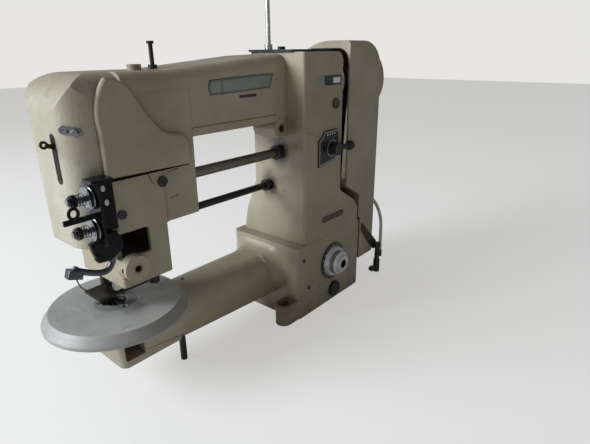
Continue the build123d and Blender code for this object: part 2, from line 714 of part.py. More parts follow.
# Lower head block: guides the bars, with a window and a nose boss in front
with BuildPart() as head_lower_block:
    with BuildSketch(Plane.XZ.offset(-block_back_y)) as block_view:
        with BuildLine():
            Polyline(
                (block_left_x, head_bottom_z),
                (block_left_x, block_bottom_z),
                (block_step_x, block_bottom_z),
                (block_step_x, block_step_z),
                (block_right_x, block_step_z),
                (block_right_x, head_bottom_z),
                close=True,
            )
        make_face()
    extrude(amount=block_back_y - block_front_y)
    fillet(head_lower_block.edges().filter_by(Axis.Z).group_by(Axis.Y)[0], 4)
    box_at(block_step_x, block_right_x + 1, block_front_y - 1, block_front_y + block_recess, block_step_z - 1,
           head_bottom_z + 1, mode=Mode.SUBTRACT)
    bore_y(nose_boss_r, block_front_y - nose_boss_reach, block_front_y + 5, nose_boss_x, nose_boss_z, mode=Mode.ADD)
    box_at(block_left_x + block_wall, block_right_x - block_wall, block_front_y + block_front_wall,
           block_back_y - block_wall, block_step_z + block_wall, head_bottom_z + 1, mode=Mode.SUBTRACT)
    box_at(block_left_x + block_wall, block_step_x - block_wall, block_front_y + block_front_wall,
           block_back_y - block_wall, block_floor_z, head_bottom_z + 1, mode=Mode.SUBTRACT)
    with BuildSketch(Plane.XZ.offset(-block_front_y + 1)) as window_view:
        with Locations(((block_left_x - 1 + window_right_x) / 2, (window_bottom_z + window_top_z) / 2)):
            Rectangle(window_right_x - block_left_x + 1, window_top_z - window_bottom_z)
        fillet(window_view.vertices().group_by(Axis.X)[-1], window_corner_r)
    extrude(amount=-block_wall - 2, mode=Mode.SUBTRACT)
    for bar_y in (work_y, presser_y):
        bore_z(bar_bush_r, block_bottom_z - 1, block_floor_z + 1, needle_x, bar_y)
    bore_z(top_feed_bar_r + fit, block_bottom_z - 1, block_floor_z + 1, top_feed_x, top_feed_y)
    bore_x(upper_rod_r + fit, block_right_x - block_wall - 1, block_right_x + 1, upper_rod_y, upper_rod_z)
    bore_x(lower_rod_r + fit, block_step_x - block_wall - 1, block_step_x + 1, lower_rod_y, lower_rod_z)
    bore_y(nose_boss_hole_r, block_front_y - nose_boss_reach - 1, block_front_y - 2, nose_boss_x, nose_boss_z)
save(head_lower_block, "head_lower_block")

# Front cover of the head: raised moulding whose edge sweeps down in an S to the arm
with BuildPart() as head_front_cover:
    with BuildSketch(Plane.XZ.offset(-head_front_y)):
        with BuildLine():
            left = ThreePointArc(
                (front_cover_left_x, front_cover_bottom_z + 50),
                (front_cover_left_x + 4, front_cover_peak_z - 14),
                (front_cover_peak_x, front_cover_peak_z),
            )
            ridge = Spline(
                left @ 1,
                (front_cover_waist_x - 22, front_cover_waist_z + 30),
                (front_cover_waist_x, front_cover_waist_z),
                (front_cover_right_x - 16, front_cover_shoulder_z),
                tangents=((1, 0), (1, -0.05)),
            )
            turn = TangentArc(ridge @ 1, (front_cover_right_x, front_cover_shoulder_z - 19), tangent=ridge % 1)
            Polyline(
                turn @ 1,
                (front_cover_right_x, front_cover_bottom_z),
                (front_cover_left_x, front_cover_bottom_z + front_cover_gap_rise),
                left @ 0,
            )
        make_face()
    extrude(amount=front_cover_t)
    chamfer(head_front_cover.faces().sort_by(Axis.Y)[0].edges(), 1.8)
save(head_front_cover, "head_front_cover")

# Belt cover: deep shell over belt and pulleys, open towards the column
cover_outline = [
    (cover_left_x, cover_top_z),
    (cover_left_x, skirt_top_z + 2),
    (cover_heel_x, cover_heel_z),
    (cover_heel_x, block_top_z + 4),
    (base_right_x, block_top_z + 4),
    (base_right_x, cover_bottom_z),
    (cover_right_x, cover_bottom_z),
    (cover_right_x, cover_top_z),
]
with BuildPart() as belt_cover:
    with BuildSketch(Plane.XZ.offset(-cover_back_y)) as cover_view:
        with BuildLine():
            Polyline(*cover_outline, close=True)
        make_face()
        fillet(cover_view.vertices().sort_by(lambda v: v.X + v.Y)[-1], cover_top_r)
    extrude(amount=cover_back_y - cover_front_y)
    with BuildSketch(Plane.YZ.offset(cover_left_x)) as cover_side:
        with Locations(((cover_front_y + cover_back_y) / 2, (cover_bottom_z + cover_top_z) / 2)):
            Rectangle(cover_back_y - cover_front_y, cover_top_z - cover_bottom_z)
        fillet(cover_side.vertices().sort_by(lambda v: v.X + v.Y)[-1], cover_back_r)
    extrude(amount=cover_right_x - cover_left_x, mode=Mode.INTERSECT)
    front_right = belt_cover.faces().filter_by(Axis.Y).sort_by(Axis.Y)[0].edges()
    fillet(front_right.filter_by(lambda e: e.center().X > base_right_x + 20 and e.center().Z > cover_bottom_z + 1),
           cover_edge_r)
with BuildPart() as cover_core:
    with BuildSketch(Plane.XZ.offset(-cover_back_y + cover_wall)) as cover_hollow:
        with BuildLine():
            Polyline(*cover_outline, close=True)
        make_face()
        fillet(cover_hollow.vertices().sort_by(lambda v: v.X + v.Y)[-1], cover_top_r)
        offset(amount=-cover_wall)
    extrude(amount=cover_back_y - cover_front_y - 2 * cover_wall)
    with BuildSketch(Plane.YZ.offset(cover_left_x)) as core_side:
        with Locations(((cover_front_y + cover_back_y) / 2, (cover_bottom_z + cover_top_z) / 2)):
            Rectangle(cover_back_y - cover_front_y, cover_top_z - cover_bottom_z)
        fillet(core_side.vertices().sort_by(lambda v: v.X + v.Y)[-1], cover_back_r)
        offset(amount=-cover_wall)
    extrude(amount=cover_right_x - cover_left_x, mode=Mode.INTERSECT)
# The shell's open side towards the column
with BuildPart() as cover_mouth:
    with BuildSketch(Plane.YZ.offset(cover_left_x - 1)) as mouth_side:
        with Locations(((cover_front_y + cover_back_y) / 2, (cover_bottom_z + cover_top_z) / 2)):
            Rectangle(cover_back_y - cover_front_y, cover_top_z - cover_bottom_z)
        fillet(mouth_side.vertices().sort_by(lambda v: v.X + v.Y)[-1], cover_back_r)
        offset(amount=-cover_wall)
    extrude(amount=cover_wall + 2)
    box_at(cover_left_x - 2, cover_left_x + cover_wall + 2, cover_front_y, cover_back_y, skirt_top_z + 12,
           column_top_z + 4, mode=Mode.INTERSECT)
    fillet(cover_mouth.edges().filter_by(Axis.X).group_by(Axis.Z)[-1].sort_by(Axis.Y)[0], cover_mouth_r)
with BuildPart() as belt_cover_shell:
    add(belt_cover.part)
    add(cover_core.part, mode=Mode.SUBTRACT)
    add(cover_mouth.part, mode=Mode.SUBTRACT)
    bore_x(main_shaft_r + 5, cover_right_x - cover_wall - 1, cover_right_x + 1, work_y, main_shaft_z)
    bore_x(hook_shaft_r + bush_wall + 4, base_right_x - 1, base_right_x + cover_wall + 1, work_y, hook_shaft_z)
save(belt_cover_shell, "belt_cover")

# Bushes of the main shaft, the hook shaft, the needle bar and the presser bar, two each
with BuildPart() as shaft_bushes:
    bore_x(bush_r, left_bush_x, tunnel_left_x, work_y, main_shaft_z, mode=Mode.ADD)
    bore_x(bush_r, column_bush_x, column_right_x + 3, work_y, main_shaft_z, mode=Mode.ADD)
    bore_x(bush_r + 4, column_right_x, column_right_x + 3, work_y, main_shaft_z, mode=Mode.ADD)
    bore_x(main_shaft_r + fit, left_bush_x - 1, column_right_x + 5, work_y, main_shaft_z)
    bore_x(hook_bush_r, hook_bush_x, hook_bush_x + 22, work_y, hook_shaft_z, mode=Mode.ADD)
    bore_x(hook_bush_r + 4, base_right_x - base_wall, base_right_x + 3, work_y, hook_shaft_z, mode=Mode.ADD)
    bore_x(hook_shaft_r + fit, hook_bush_x - 1, base_right_x + 5, work_y, hook_shaft_z)
    for bar_y, bar_r in ((work_y, needle_bar_r), (presser_y, presser_bar_r)):
        bore_z(bar_bush_r, block_bottom_z, block_floor_z, needle_x, bar_y, mode=Mode.ADD)
        bore_z(bar_bush_r, guide_low_z, guide_high_z + 2, needle_x, bar_y, mode=Mode.ADD)
        bore_z(bar_r + fit, block_bottom_z - 1, guide_high_z + 3, needle_x, bar_y)
save(shaft_bushes, "shaft_bushes")

# Main shaft
with BuildPart() as main_shaft:
    bore_x(main_shaft_r, crank_x + 1.5, main_shaft_end_x, work_y, main_shaft_z, mode=Mode.ADD)
    chamfer(main_shaft.faces().sort_by(Axis.X)[-1].edges(), 1)
save(main_shaft, "main_shaft")

# Crank with its counterweight and pin
with BuildPart() as needle_crank:
    with BuildSketch(Plane.YZ.offset(crank_x)):
        with Locations((work_y, main_shaft_z)):
            Circle(crank_r)
        with Locations((work_y - crank_r, main_shaft_z + 8), (work_y + crank_r, main_shaft_z + 8)):
            Circle(11, mode=Mode.SUBTRACT)
        with Locations((work_y, main_shaft_z)):
            Circle(main_shaft_r, mode=Mode.SUBTRACT)
    extrude(amount=crank_t)
    bore_x(crank_pin_r, crank_x - crank_pin_length, crank_x + 1, work_y, main_shaft_z + crank_throw, mode=Mode.ADD)
save(needle_crank, "needle_crank")

# Link from the crank pin to the needle bar's clamp
link_x = crank_x - crank_pin_length + 1.0
link_low_z = main_shaft_z + crank_throw - link_length
with BuildPart() as connecting_link:
    with BuildSketch(Plane.YZ.offset(link_x)):
        with Locations((work_y, link_low_z + link_length / 2)):
            SlotCenterToCenter(link_length, 2 * link_eye_r - 6, rotation=90)
        with Locations((work_y, link_low_z), (work_y, link_low_z + link_length)):
            Circle(link_eye_r)
        with Locations((work_y, link_low_z), (work_y, link_low_z + link_length)):
            Circle(crank_pin_r + fit, mode=Mode.SUBTRACT)
    extrude(amount=link_t)
save(connecting_link, "connecting_link")

# Needle bar with its clamp, needle clamp and needle
needle_bar_bottom_z = needle_clamp_low_z + 3.0
with BuildPart() as needle_bar:
    bore_z(needle_bar_r, needle_bar_bottom_z, guide_high_z + 4 + 2 * crank_throw, needle_x, work_y, mode=Mode.ADD)
    chamfer(needle_bar.edges().filter_by(GeomType.CIRCLE).group_by(Axis.Z)[-1], 0.8)
save(needle_bar, "needle_bar")

with BuildPart() as needle_bar_clamp:
    bore_z(needle_bar_r + 3.4, link_low_z - 5, link_low_z + 5, needle_x, work_y, mode=Mode.ADD)
    bore_x(crank_pin_r - 0.6, needle_x + 4, link_x - slide_gap, work_y, link_low_z, mode=Mode.ADD)
    bore_z(needle_bar_r, link_low_z - 6, link_low_z + 6, needle_x, work_y)
save(needle_bar_clamp, "needle_bar_clamp")

needle_clamp_top_z = needle_clamp_low_z + needle_clamp_length
with BuildPart() as needle_clamp:
    bore_z(needle_clamp_r, needle_clamp_low_z, needle_clamp_top_z, needle_x, work_y, mode=Mode.ADD)
    bore_y(1.8, work_y - needle_clamp_r - 3.5, work_y, needle_x, needle_clamp_low_z + 4.2, mode=Mode.ADD)
    bore_z(needle_bar_r, needle_bar_bottom_z, needle_clamp_top_z + 1, needle_x, work_y)
    bore_z(needle_shank_r, needle_clamp_low_z - 1, needle_bar_bottom_z + 1, needle_x, work_y)
save(needle_clamp, "needle_clamp")

with BuildPart() as needle:
    bore_z(needle_shank_r, needle_clamp_low_z - 6, needle_bar_bottom_z, needle_x, work_y, mode=Mode.ADD)
    bore_z(needle_r, needle_tip_z + 4, needle_clamp_low_z - 5, needle_x, work_y, mode=Mode.ADD)
    with Locations((needle_x, work_y, needle_tip_z + 2)):
        Cone(0.1, needle_r, 4)
save(needle, "needle")

# Presser bar with the presser foot
with BuildPart() as presser_bar:
    bore_z(presser_bar_r, block_bottom_z - 14, presser_bar_top_z, needle_x, presser_y, mode=Mode.ADD)
    chamfer(presser_bar.edges().filter_by(GeomType.CIRCLE).group_by(Axis.Z)[-1], 0.8)
save(presser_bar, "presser_bar")

foot_z = table_top_z + foot_gap
foot_socket_z = block_bottom_z - 20
with BuildPart() as presser_foot:
    bore_z(presser_bar_r + 2.5, foot_socket_z, foot_socket_z + 13, needle_x, presser_y, mode=Mode.ADD)
    with BuildSketch(Plane.YZ.offset(needle_x - foot_width / 2)):
        with BuildLine():
            Polyline(
                (presser_y + 3, foot_socket_z + 2),
                (presser_y + 3, foot_z),
                (work_y - 8, foot_z),
                (work_y - 15, foot_z + 4),
                (work_y - 14, foot_z + 5.4),
                (work_y - 7, foot_z + foot_sole_t),
                (presser_y - 7, foot_z + foot_sole_t),
                (presser_y - 4, foot_socket_z + 2),
                close=True,
            )
        make_face()
    extrude(amount=foot_width)
    bore_z(presser_bar_r, block_bottom_z - 14, block_bottom_z, needle_x, presser_y)
    box_at(needle_x - foot_slot_w / 2, needle_x + foot_slot_w / 2, work_y - 16, work_y + foot_slot_w / 2,
           foot_z - 1, foot_z + 8, mode=Mode.SUBTRACT)
save(presser_foot, "presser_foot")

# Top feed: a foot on a long bar, hung from a short upright bar in the head block
feed_foot_bar_z = 141.0
feed_foot_bar_w = 5.0
feed_foot_bar_t = 3.0
feed_foot_end_x = needle_x - 32.0
feed_foot_toe_x = needle_x - 8.5          # right edge of the plate at the bar's end
feed_foot_back_y = work_y + 8.0
feed_foot_leg_x = needle_x - 13.0
fork_z = lower_rod_z
with BuildPart() as top_feed_bar:
    bore_z(top_feed_bar_r, feed_foot_bar_z - 4, lower_rod_z + 12, top_feed_x, top_feed_y, mode=Mode.ADD)
    bore_z(top_feed_bar_r + 2.7, fork_z + fork_t / 2 + 1, fork_z + fork_t / 2 + 6, top_feed_x, top_feed_y, mode=Mode.ADD)
save(top_feed_bar, "top_feed_bar")

with BuildPart() as top_feed_foot:
    box_at(feed_foot_end_x, top_feed_x + 6, top_feed_y - feed_foot_bar_w / 2, top_feed_y + feed_foot_bar_w / 2,
           feed_foot_bar_z - feed_foot_bar_t / 2, feed_foot_bar_z + feed_foot_bar_t / 2)
    bore_z(top_feed_bar_r + 3, feed_foot_bar_z - 5, feed_foot_bar_z + 6, top_feed_x, top_feed_y, mode=Mode.ADD)
    bore_z(top_feed_bar_r, feed_foot_bar_z - 4, feed_foot_bar_z + 7, top_feed_x, top_feed_y)
    # Plate across the bar's end, with the leg and the sole behind the needle's left side
    box_at(feed_foot_end_x, feed_foot_toe_x, top_feed_y - feed_foot_bar_w / 2, feed_foot_back_y,
           feed_foot_bar_z - feed_foot_bar_t / 2, feed_foot_bar_z + feed_foot_bar_t / 2 - 0.5)
    box_at(feed_foot_leg_x - 4, feed_foot_leg_x, work_y + 1, feed_foot_back_y, foot_z, feed_foot_bar_z)
    box_at(feed_foot_leg_x - 1, needle_x - 5.7, work_y - 2, feed_foot_back_y, foot_z, foot_z + 2.6)
save(top_feed_foot, "top_feed_foot")

# Feed rods between column and head: one ends in a rocker arm, the other in a lifting fork
rod_end_x = block_step_x - block_wall - 0.6
with BuildPart() as upper_rod:
    bore_x(upper_rod_r, block_step_x - 3, column_left_x + 32, upper_rod_y, upper_rod_z, mode=Mode.ADD)
    with BuildSketch(Plane.YZ.offset(block_step_x - 2)):
        with Locations((upper_rod_y, upper_rod_z)):
            Circle(upper_rod_r + 1)
        with Locations((upper_rod_y, upper_rod_z - rocker_length / 2)):
            Rectangle(7, rocker_length)
        with Locations((upper_rod_y, upper_rod_z - rocker_length)):
            Circle(4.5)
    extrude(amount=rocker_t)
    bore_x(2, block_step_x - 3, block_step_x + rocker_t, upper_rod_y, upper_rod_z - rocker_length)
save(upper_rod, "upper_rod")

fork_left_x = top_feed_x - (rod_end_x - top_feed_x)
with BuildPart() as lower_rod:
    bore_x(lower_rod_r, fork_left_x, column_left_x + 32, lower_rod_y, lower_rod_z, mode=Mode.ADD)
    bore_x(lower_rod_r + 2.5, fork_left_x, rod_end_x, lower_rod_y, lower_rod_z, mode=Mode.ADD)
    box_at(fork_left_x, rod_end_x, top_feed_y - 2, lower_rod_y, fork_z - fork_t / 2, fork_z + fork_t / 2)
    box_at(top_feed_x - top_feed_bar_r - slide_gap, top_feed_x + top_feed_bar_r + slide_gap,
           top_feed_y - 3, top_feed_y + top_feed_bar_r + slide_gap, fork_z - 6, fork_z + 6, mode=Mode.SUBTRACT)
save(lower_rod, "lower_rod")

with BuildPart() as rod_collars:
    for rod_y, rod_z, rod_r in ((upper_rod_y, upper_rod_z, upper_rod_r), (lower_rod_y, lower_rod_z, lower_rod_r)):
        bore_x(rod_r + collar_wall, column_left_x - collar_length, column_left_x, rod_y, rod_z, mode=Mode.ADD)
        bore_x(rod_r + collar_wall - 1.5, column_left_x - 1, column_left_x + casting_wall, rod_y, rod_z, mode=Mode.ADD)
        bore_x(rod_r + fit, column_left_x - collar_length - 1, column_left_x + casting_wall + 1, rod_y, rod_z)
    chamfer(rod_collars.faces().filter_by(Axis.X).group_by(Axis.X)[0].edges(), 1)
save(rod_collars, "rod_collars")

# Take-up lever on its pivot pin
take_up_tip_x = head_left_x - 9.0
take_up_rise = 18.0
with BuildPart() as take_up_pin:
    bore_y(take_up_pin_r, head_front_y, slot_y + 3, take_up_x, take_up_z, mode=Mode.ADD)
    bore_y(take_up_pin_r + 2.5, slot_y - 5, slot_y - 1.5, take_up_x, take_up_z, mode=Mode.ADD)
save(take_up_pin, "take_up_pin")

with BuildPart() as take_up_lever:
    lever_run = take_up_x - take_up_tip_x
    lever_angle = degrees(atan2(take_up_rise, -lever_run))
    with BuildSketch(Plane.XZ.offset(-slot_y - 1)):
        with Locations((take_up_x, take_up_z)):
            Circle(take_up_pin_r + 3)
        with Locations(((take_up_x + take_up_tip_x) / 2, take_up_z + take_up_rise / 2)):
            SlotOverall(hypot(lever_run, take_up_rise) + 4, 4.5, rotation=lever_angle)
        with Locations((take_up_tip_x, take_up_z + take_up_rise)):
            Circle(4)
            Circle(1.6, mode=Mode.SUBTRACT)
        with Locations((take_up_x, take_up_z)):
            Circle(take_up_pin_r + fit, mode=Mode.SUBTRACT)
    extrude(amount=2)
save(take_up_lever, "take_up_lever")

# Handwheel: dished wheel with a rounded rim, fixed on the main shaft's end
axis_main = Axis((0, work_y, main_shaft_z), (1, 0, 0))
wheel_in_x = handwheel_x
wheel_out_x = handwheel_x + handwheel_width
web_x = handwheel_x + 8.0
with BuildPart() as handwheel:
    with BuildSketch(Plane.XY.offset(main_shaft_z)) as wheel_half:
        with BuildLine():
            Polyline(
                (wheel_in_x, work_y + main_shaft_r),
                (wheel_in_x, work_y + handwheel_hub_r),
                (web_x, work_y + handwheel_hub_r + 4),
                (web_x, work_y + handwheel_r - handwheel_rim),
                (wheel_in_x, work_y + handwheel_r - handwheel_rim),
                (wheel_in_x, work_y + handwheel_r),
                (wheel_out_x, work_y + handwheel_r),
                (wheel_out_x, work_y + handwheel_r - handwheel_rim),
                (web_x + handwheel_web, work_y + handwheel_r - handwheel_rim),
                (web_x + handwheel_web, work_y + handwheel_hub_r),
                (wheel_out_x - 3, work_y + handwheel_hub_r - 3),
                (wheel_out_x - 3, work_y + main_shaft_r),
                close=True,
            )
        make_face()
        chamfer(wheel_half.vertices().group_by(Axis.Y)[-1], 3)
    revolve(axis=axis_main)
    for turn in range(6):
        spot_y, spot_z = polar((handwheel_hub_r + handwheel_r) / 2 - 1, 60 * turn)
        bore_x(9, web_x - 3, web_x + handwheel_web + 3, work_y + spot_y, main_shaft_z + spot_z)
save(handwheel, "handwheel")


def toothed_pulley(teeth, shaft_r, axis_z):
    """Flanged belt pulley: pitch size from its teeth, round-bottomed grooves cut across."""
    rim_r = teeth * belt_pitch / (2 * pi) - 0.4
    with BuildPart() as pulley:
        bore_x(rim_r, pulley_x, pulley_x + pulley_width, work_y, axis_z, mode=Mode.ADD)
        with BuildSketch(Plane.YZ.offset(pulley_x)):
            with Locations((work_y, axis_z)):
                with PolarLocations(rim_r, teeth):
                    Rectangle(2 * tooth_depth, belt_pitch * 0.46)
        extrude(amount=pulley_width, mode=Mode.SUBTRACT)
        for flange_x in (pulley_x, pulley_x + pulley_width - pulley_flange_t):
            bore_x(rim_r + belt_t + 0.6, flange_x, flange_x + pulley_flange_t, work_y, axis_z, mode=Mode.ADD)
        bore_x(shaft_r, pulley_x - 1, pulley_x + pulley_width + 1, work_y, axis_z)
    return pulley, rim_r


upper_pulley, upper_rim_r = toothed_pulley(upper_pulley_teeth, main_shaft_r, main_shaft_z)
save(upper_pulley, "upper_pulley")
lower_pulley, lower_rim_r = toothed_pulley(lower_pulley_teeth, hook_shaft_r, hook_shaft_z)
save(lower_pulley, "lower_pulley")

# Belt: a closed band round both pulleys, on straight runs that touch both circles
belt_mid_x = pulley_x + pulley_width / 2
shaft_distance = main_shaft_z - hook_shaft_z
with BuildPart() as timing_belt:
    for grow, mode in ((belt_t + slide_gap, Mode.ADD), (slide_gap, Mode.SUBTRACT)):
        upper_r = upper_rim_r + grow
        lower_r = lower_rim_r + grow
        lean = asin((upper_r - lower_r) / shaft_distance)
        side_y = cos(lean)
        side_z = -sin(lean)
        with BuildSketch(Plane.YZ.offset(belt_mid_x - belt_width / 2)):
            with BuildLine():
                Polyline(
                    (work_y - upper_r * side_y, main_shaft_z + upper_r * side_z),
                    (work_y - lower_r * side_y, hook_shaft_z + lower_r * side_z),
                    (work_y, hook_shaft_z),
                    (work_y + lower_r * side_y, hook_shaft_z + lower_r * side_z),
                    (work_y + upper_r * side_y, main_shaft_z + upper_r * side_z),
                    (work_y, main_shaft_z),
                    close=True,
                )
            make_face()
            with Locations((work_y, main_shaft_z)):
                Circle(upper_r)
            with Locations((work_y, hook_shaft_z)):
                Circle(lower_r)
        extrude(amount=belt_width, mode=mode)
save(timing_belt, "timing_belt")

# Hook shaft, its bushes, the rotary hook and the bobbin case
hook_shaft_end_x = pulley_x + pulley_width + 3.0
with BuildPart() as hook_shaft:
    bore_x(hook_shaft_r, hook_back_x - 2, hook_shaft_end_x, work_y, hook_shaft_z, mode=Mode.ADD)
save(hook_shaft, "hook_shaft")

axis_hook = Axis((0, work_y, hook_shaft_z), (1, 0, 0))
with BuildPart() as rotary_hook:
    with BuildSketch(Plane.XY.offset(hook_shaft_z)):
        with BuildLine():
            Polyline(
                (hook_front_x, work_y + hook_r - 3),
                (hook_front_x, work_y + hook_r),
                (hook_back_x - 2, work_y + hook_r),
                (hook_back_x, work_y + hook_r - 5),
                (hook_back_x, work_y + hook_shaft_r + 3),
                (hook_back_x + 8, work_y + hook_shaft_r + 3),
                (hook_back_x + 8, work_y + hook_shaft_r),
                (hook_back_x - 2, work_y + hook_shaft_r),
                (hook_back_x - 2, work_y),
                (hook_back_x - 3, work_y),
                (hook_back_x - 3, work_y + hook_r - 3),
                close=True,
            )
        make_face()
    revolve(axis=axis_hook)
    # Thread passage with the hook's point
    with BuildSketch(Plane.YZ.offset(hook_front_x - 1)):
        with Locations((work_y, hook_shaft_z)):
            with PolarLocations(hook_r, 2, start_angle=35):
                RegularPolygon(7, 3)
    extrude(amount=9, mode=Mode.SUBTRACT)
save(rotary_hook, "rotary_hook")

with BuildPart() as bobbin_case:
    bore_x(bobbin_case_r, hook_front_x - 1.5, hook_back_x - 3.4, work_y, hook_shaft_z, mode=Mode.ADD)
    bore_x(bobbin_case_r - 1.5, hook_front_x + 0.5, hook_back_x - 3, work_y, hook_shaft_z)
    bore_x(3, hook_front_x - 2, hook_front_x + 3, work_y, hook_shaft_z)
    with Locations((hook_front_x - 1.5, work_y, hook_shaft_z + 8)):
        Box(3, 5, 9, mode=Mode.SUBTRACT)
save(bobbin_case, "bobbin_case")

# Feed dial on the base: scale ring, numbered drum with stepped knob and cap, and its shaft
with BuildPart() as dial_scale_ring:
    bore_y(dial_scale_r, base_front_y - dial_scale_t, base_front_y, dial_x, dial_z, mode=Mode.ADD)
    bore_y(dial_shaft_r + 1, base_front_y - dial_scale_t - 1, base_front_y + 1, dial_x, dial_z)
save(dial_scale_ring, "dial_scale_ring")

dial_face_y = base_front_y - dial_scale_t - part_gap
axis_dial = Axis((dial_x, 0, dial_z), (0, 1, 0))
with BuildPart() as feed_dial:
    with BuildSketch(Plane.XY.offset(dial_z)) as dial_half:
        with BuildLine():
            Polyline(
                (dial_x, dial_face_y + dial_shaft_length),
                (dial_x + dial_shaft_r, dial_face_y + dial_shaft_length),
                (dial_x + dial_shaft_r, dial_face_y),
                (dial_x + dial_drum_r, dial_face_y),
                (dial_x + dial_drum_r - 2, dial_face_y - dial_drum_t),
                (dial_x + dial_knob_r, dial_face_y - dial_drum_t),
                (dial_x + dial_knob_r - 1, dial_face_y - dial_drum_t - dial_knob_t),
                (dial_x + dial_cap_r + 1, dial_face_y - dial_drum_t - dial_knob_t - 2),
                (dial_x + dial_cap_r, dial_face_y - dial_drum_t - dial_knob_t - dial_cap_t),
                (dial_x + dial_bore_r, dial_face_y - dial_drum_t - dial_knob_t - dial_cap_t),
                (dial_x + dial_bore_r, dial_face_y - dial_drum_t - dial_knob_t),
                (dial_x, dial_face_y - dial_drum_t - dial_knob_t),
                close=True,
            )
        make_face()
    revolve(axis=axis_dial)
save(feed_dial, "feed_dial")

# Stitch lever on the column: outline plate, hub with arm, ball knob
with BuildPart() as lever_plate:
    with BuildSketch(Plane.XZ.offset(-column_front_y)):
        with BuildLine():
            Polyline(
                (lever_pivot_x - lever_plate_left, lever_pivot_z - lever_plate_down),
                (lever_pivot_x - lever_plate_left, lever_pivot_z + lever_plate_up / 2),
                (lever_pivot_x - 0.73 * lever_plate_left, lever_pivot_z + 0.71 * lever_plate_up),
                (lever_pivot_x - 0.6 * lever_plate_left, lever_pivot_z + 0.96 * lever_plate_up),
                (lever_pivot_x + 0.67 * lever_plate_right, lever_pivot_z + lever_plate_up),
                (lever_pivot_x + lever_plate_right, lever_pivot_z + 0.79 * lever_plate_up),
                (lever_pivot_x + lever_plate_right, lever_pivot_z - 0.08 * lever_plate_down),
                (lever_pivot_x + 0.4 * lever_plate_right, lever_pivot_z - 0.75 * lever_plate_down),
                close=True,
            )
        make_face()
        with Locations((lever_pivot_x, lever_pivot_z)):
            Circle(lever_shaft_r + 1, mode=Mode.SUBTRACT)
    extrude(amount=lever_plate_t)
save(lever_plate, "lever_plate")

lever_face_y = column_front_y - lever_plate_t - part_gap
lever_arm_y = lever_face_y - 7
knob_x = lever_pivot_x + lever_length - lever_knob_r
with BuildPart() as stitch_lever:
    bore_y(9, lever_face_y - 12, lever_face_y, lever_pivot_x, lever_pivot_z, mode=Mode.ADD)
    bore_y(lever_shaft_r, lever_face_y - 1, column_front_y + casting_wall + 14, lever_pivot_x, lever_pivot_z, mode=Mode.ADD)
    bore_x(4, lever_pivot_x, knob_x, lever_arm_y, lever_pivot_z, mode=Mode.ADD)
    with BuildSketch(Plane.XY.offset(lever_pivot_z)):
        with BuildLine():
            Polyline(
                (knob_x - lever_knob_r, lever_arm_y),
                (knob_x - lever_knob_r, lever_arm_y + 0.65 * lever_knob_r),
                (knob_x - 0.4 * lever_knob_r, lever_arm_y + lever_knob_r),
                (knob_x + 0.4 * lever_knob_r, lever_arm_y + lever_knob_r),
                (knob_x + lever_knob_r, lever_arm_y + 0.5 * lever_knob_r),
                (knob_x + lever_knob_r, lever_arm_y),
                close=True,
            )
        make_face()
    revolve(axis=Axis((0, lever_arm_y, lever_pivot_z), (1, 0, 0)))
save(stitch_lever, "stitch_lever")

# Black plate on the column and the thread stand's rod
plate_top_z = column_top_z + top_plate_t
with BuildPart() as top_plate:
    with BuildSketch(Plane.XY.offset(column_top_z)):
        with Locations(((column_left_x + column_right_x) / 2 - 4, (column_front_y + column_back_y) / 2 + 6)):
            RectangleRounded(column_right_x - column_left_x, column_back_y - column_front_y - 22, 5)
    extrude(amount=top_plate_t)
    bore_z(stand_rod_r, column_top_z - 1, plate_top_z + 1, stand_rod_x, stand_rod_y)
save(top_plate, "top_plate")

with BuildPart() as thread_stand_rod:
    bore_z(stand_rod_r, column_top_z, column_top_z + stand_rod_length, stand_rod_x, stand_rod_y, mode=Mode.ADD)
    bore_z(stand_rod_collar_r, plate_top_z, plate_top_z + 7, stand_rod_x, stand_rod_y, mode=Mode.ADD)
    chamfer(thread_stand_rod.edges().group_by(Axis.Z)[-1], 0.8)
save(thread_stand_rod, "thread_stand_rod")

# Thread pin and oil cap on the arm
with BuildPart() as thread_pin:
    bore_z(thread_pin_r - fit, head_top_z - 12, head_top_z + 28, thread_pin_x, thread_pin_y, mode=Mode.ADD)
    bore_z(thread_pin_collar_r, head_top_z, head_top_z + 5, thread_pin_x, thread_pin_y, mode=Mode.ADD)
    bore_z(4, head_top_z + 27, head_top_z + 30, thread_pin_x, thread_pin_y, mode=Mode.ADD)
save(thread_pin, "thread_pin")

# Plugs: round one in the plinth, sight plug on the column, oil cap on the arm, knob on the top plate
with BuildPart() as plugs:
    bore_y(plug_r, base_front_y - plug_t, base_front_y, plug_x, plug_z, mode=Mode.ADD)
    fillet(plugs.edges().filter_by(GeomType.CIRCLE).group_by(Axis.Y)[0], 1.5)
    bore_y(plug_r - 4 - fit, base_front_y - 1, base_front_y + base_wall + 2, plug_x, plug_z, mode=Mode.ADD)
    bore_y(sight_plug_r, column_front_y - 2.5, column_front_y, sight_plug_x, sight_plug_z, mode=Mode.ADD)
    bore_y(sight_plug_r - 2.5, column_front_y - 3.5, column_front_y - 2, sight_plug_x, sight_plug_z)
    bore_z(oil_cap_r, head_top_z, head_top_z + 6, oil_cap_x, oil_cap_y, mode=Mode.ADD)
    bore_z(oil_cap_stem_r, head_top_z - 3, head_top_z + 1, oil_cap_x, oil_cap_y, mode=Mode.ADD)
    bore_z(plate_knob_r, plate_top_z, plate_top_z + 4, stand_rod_x + 14, stand_rod_y - 12, mode=Mode.ADD)
save(plugs, "plugs")

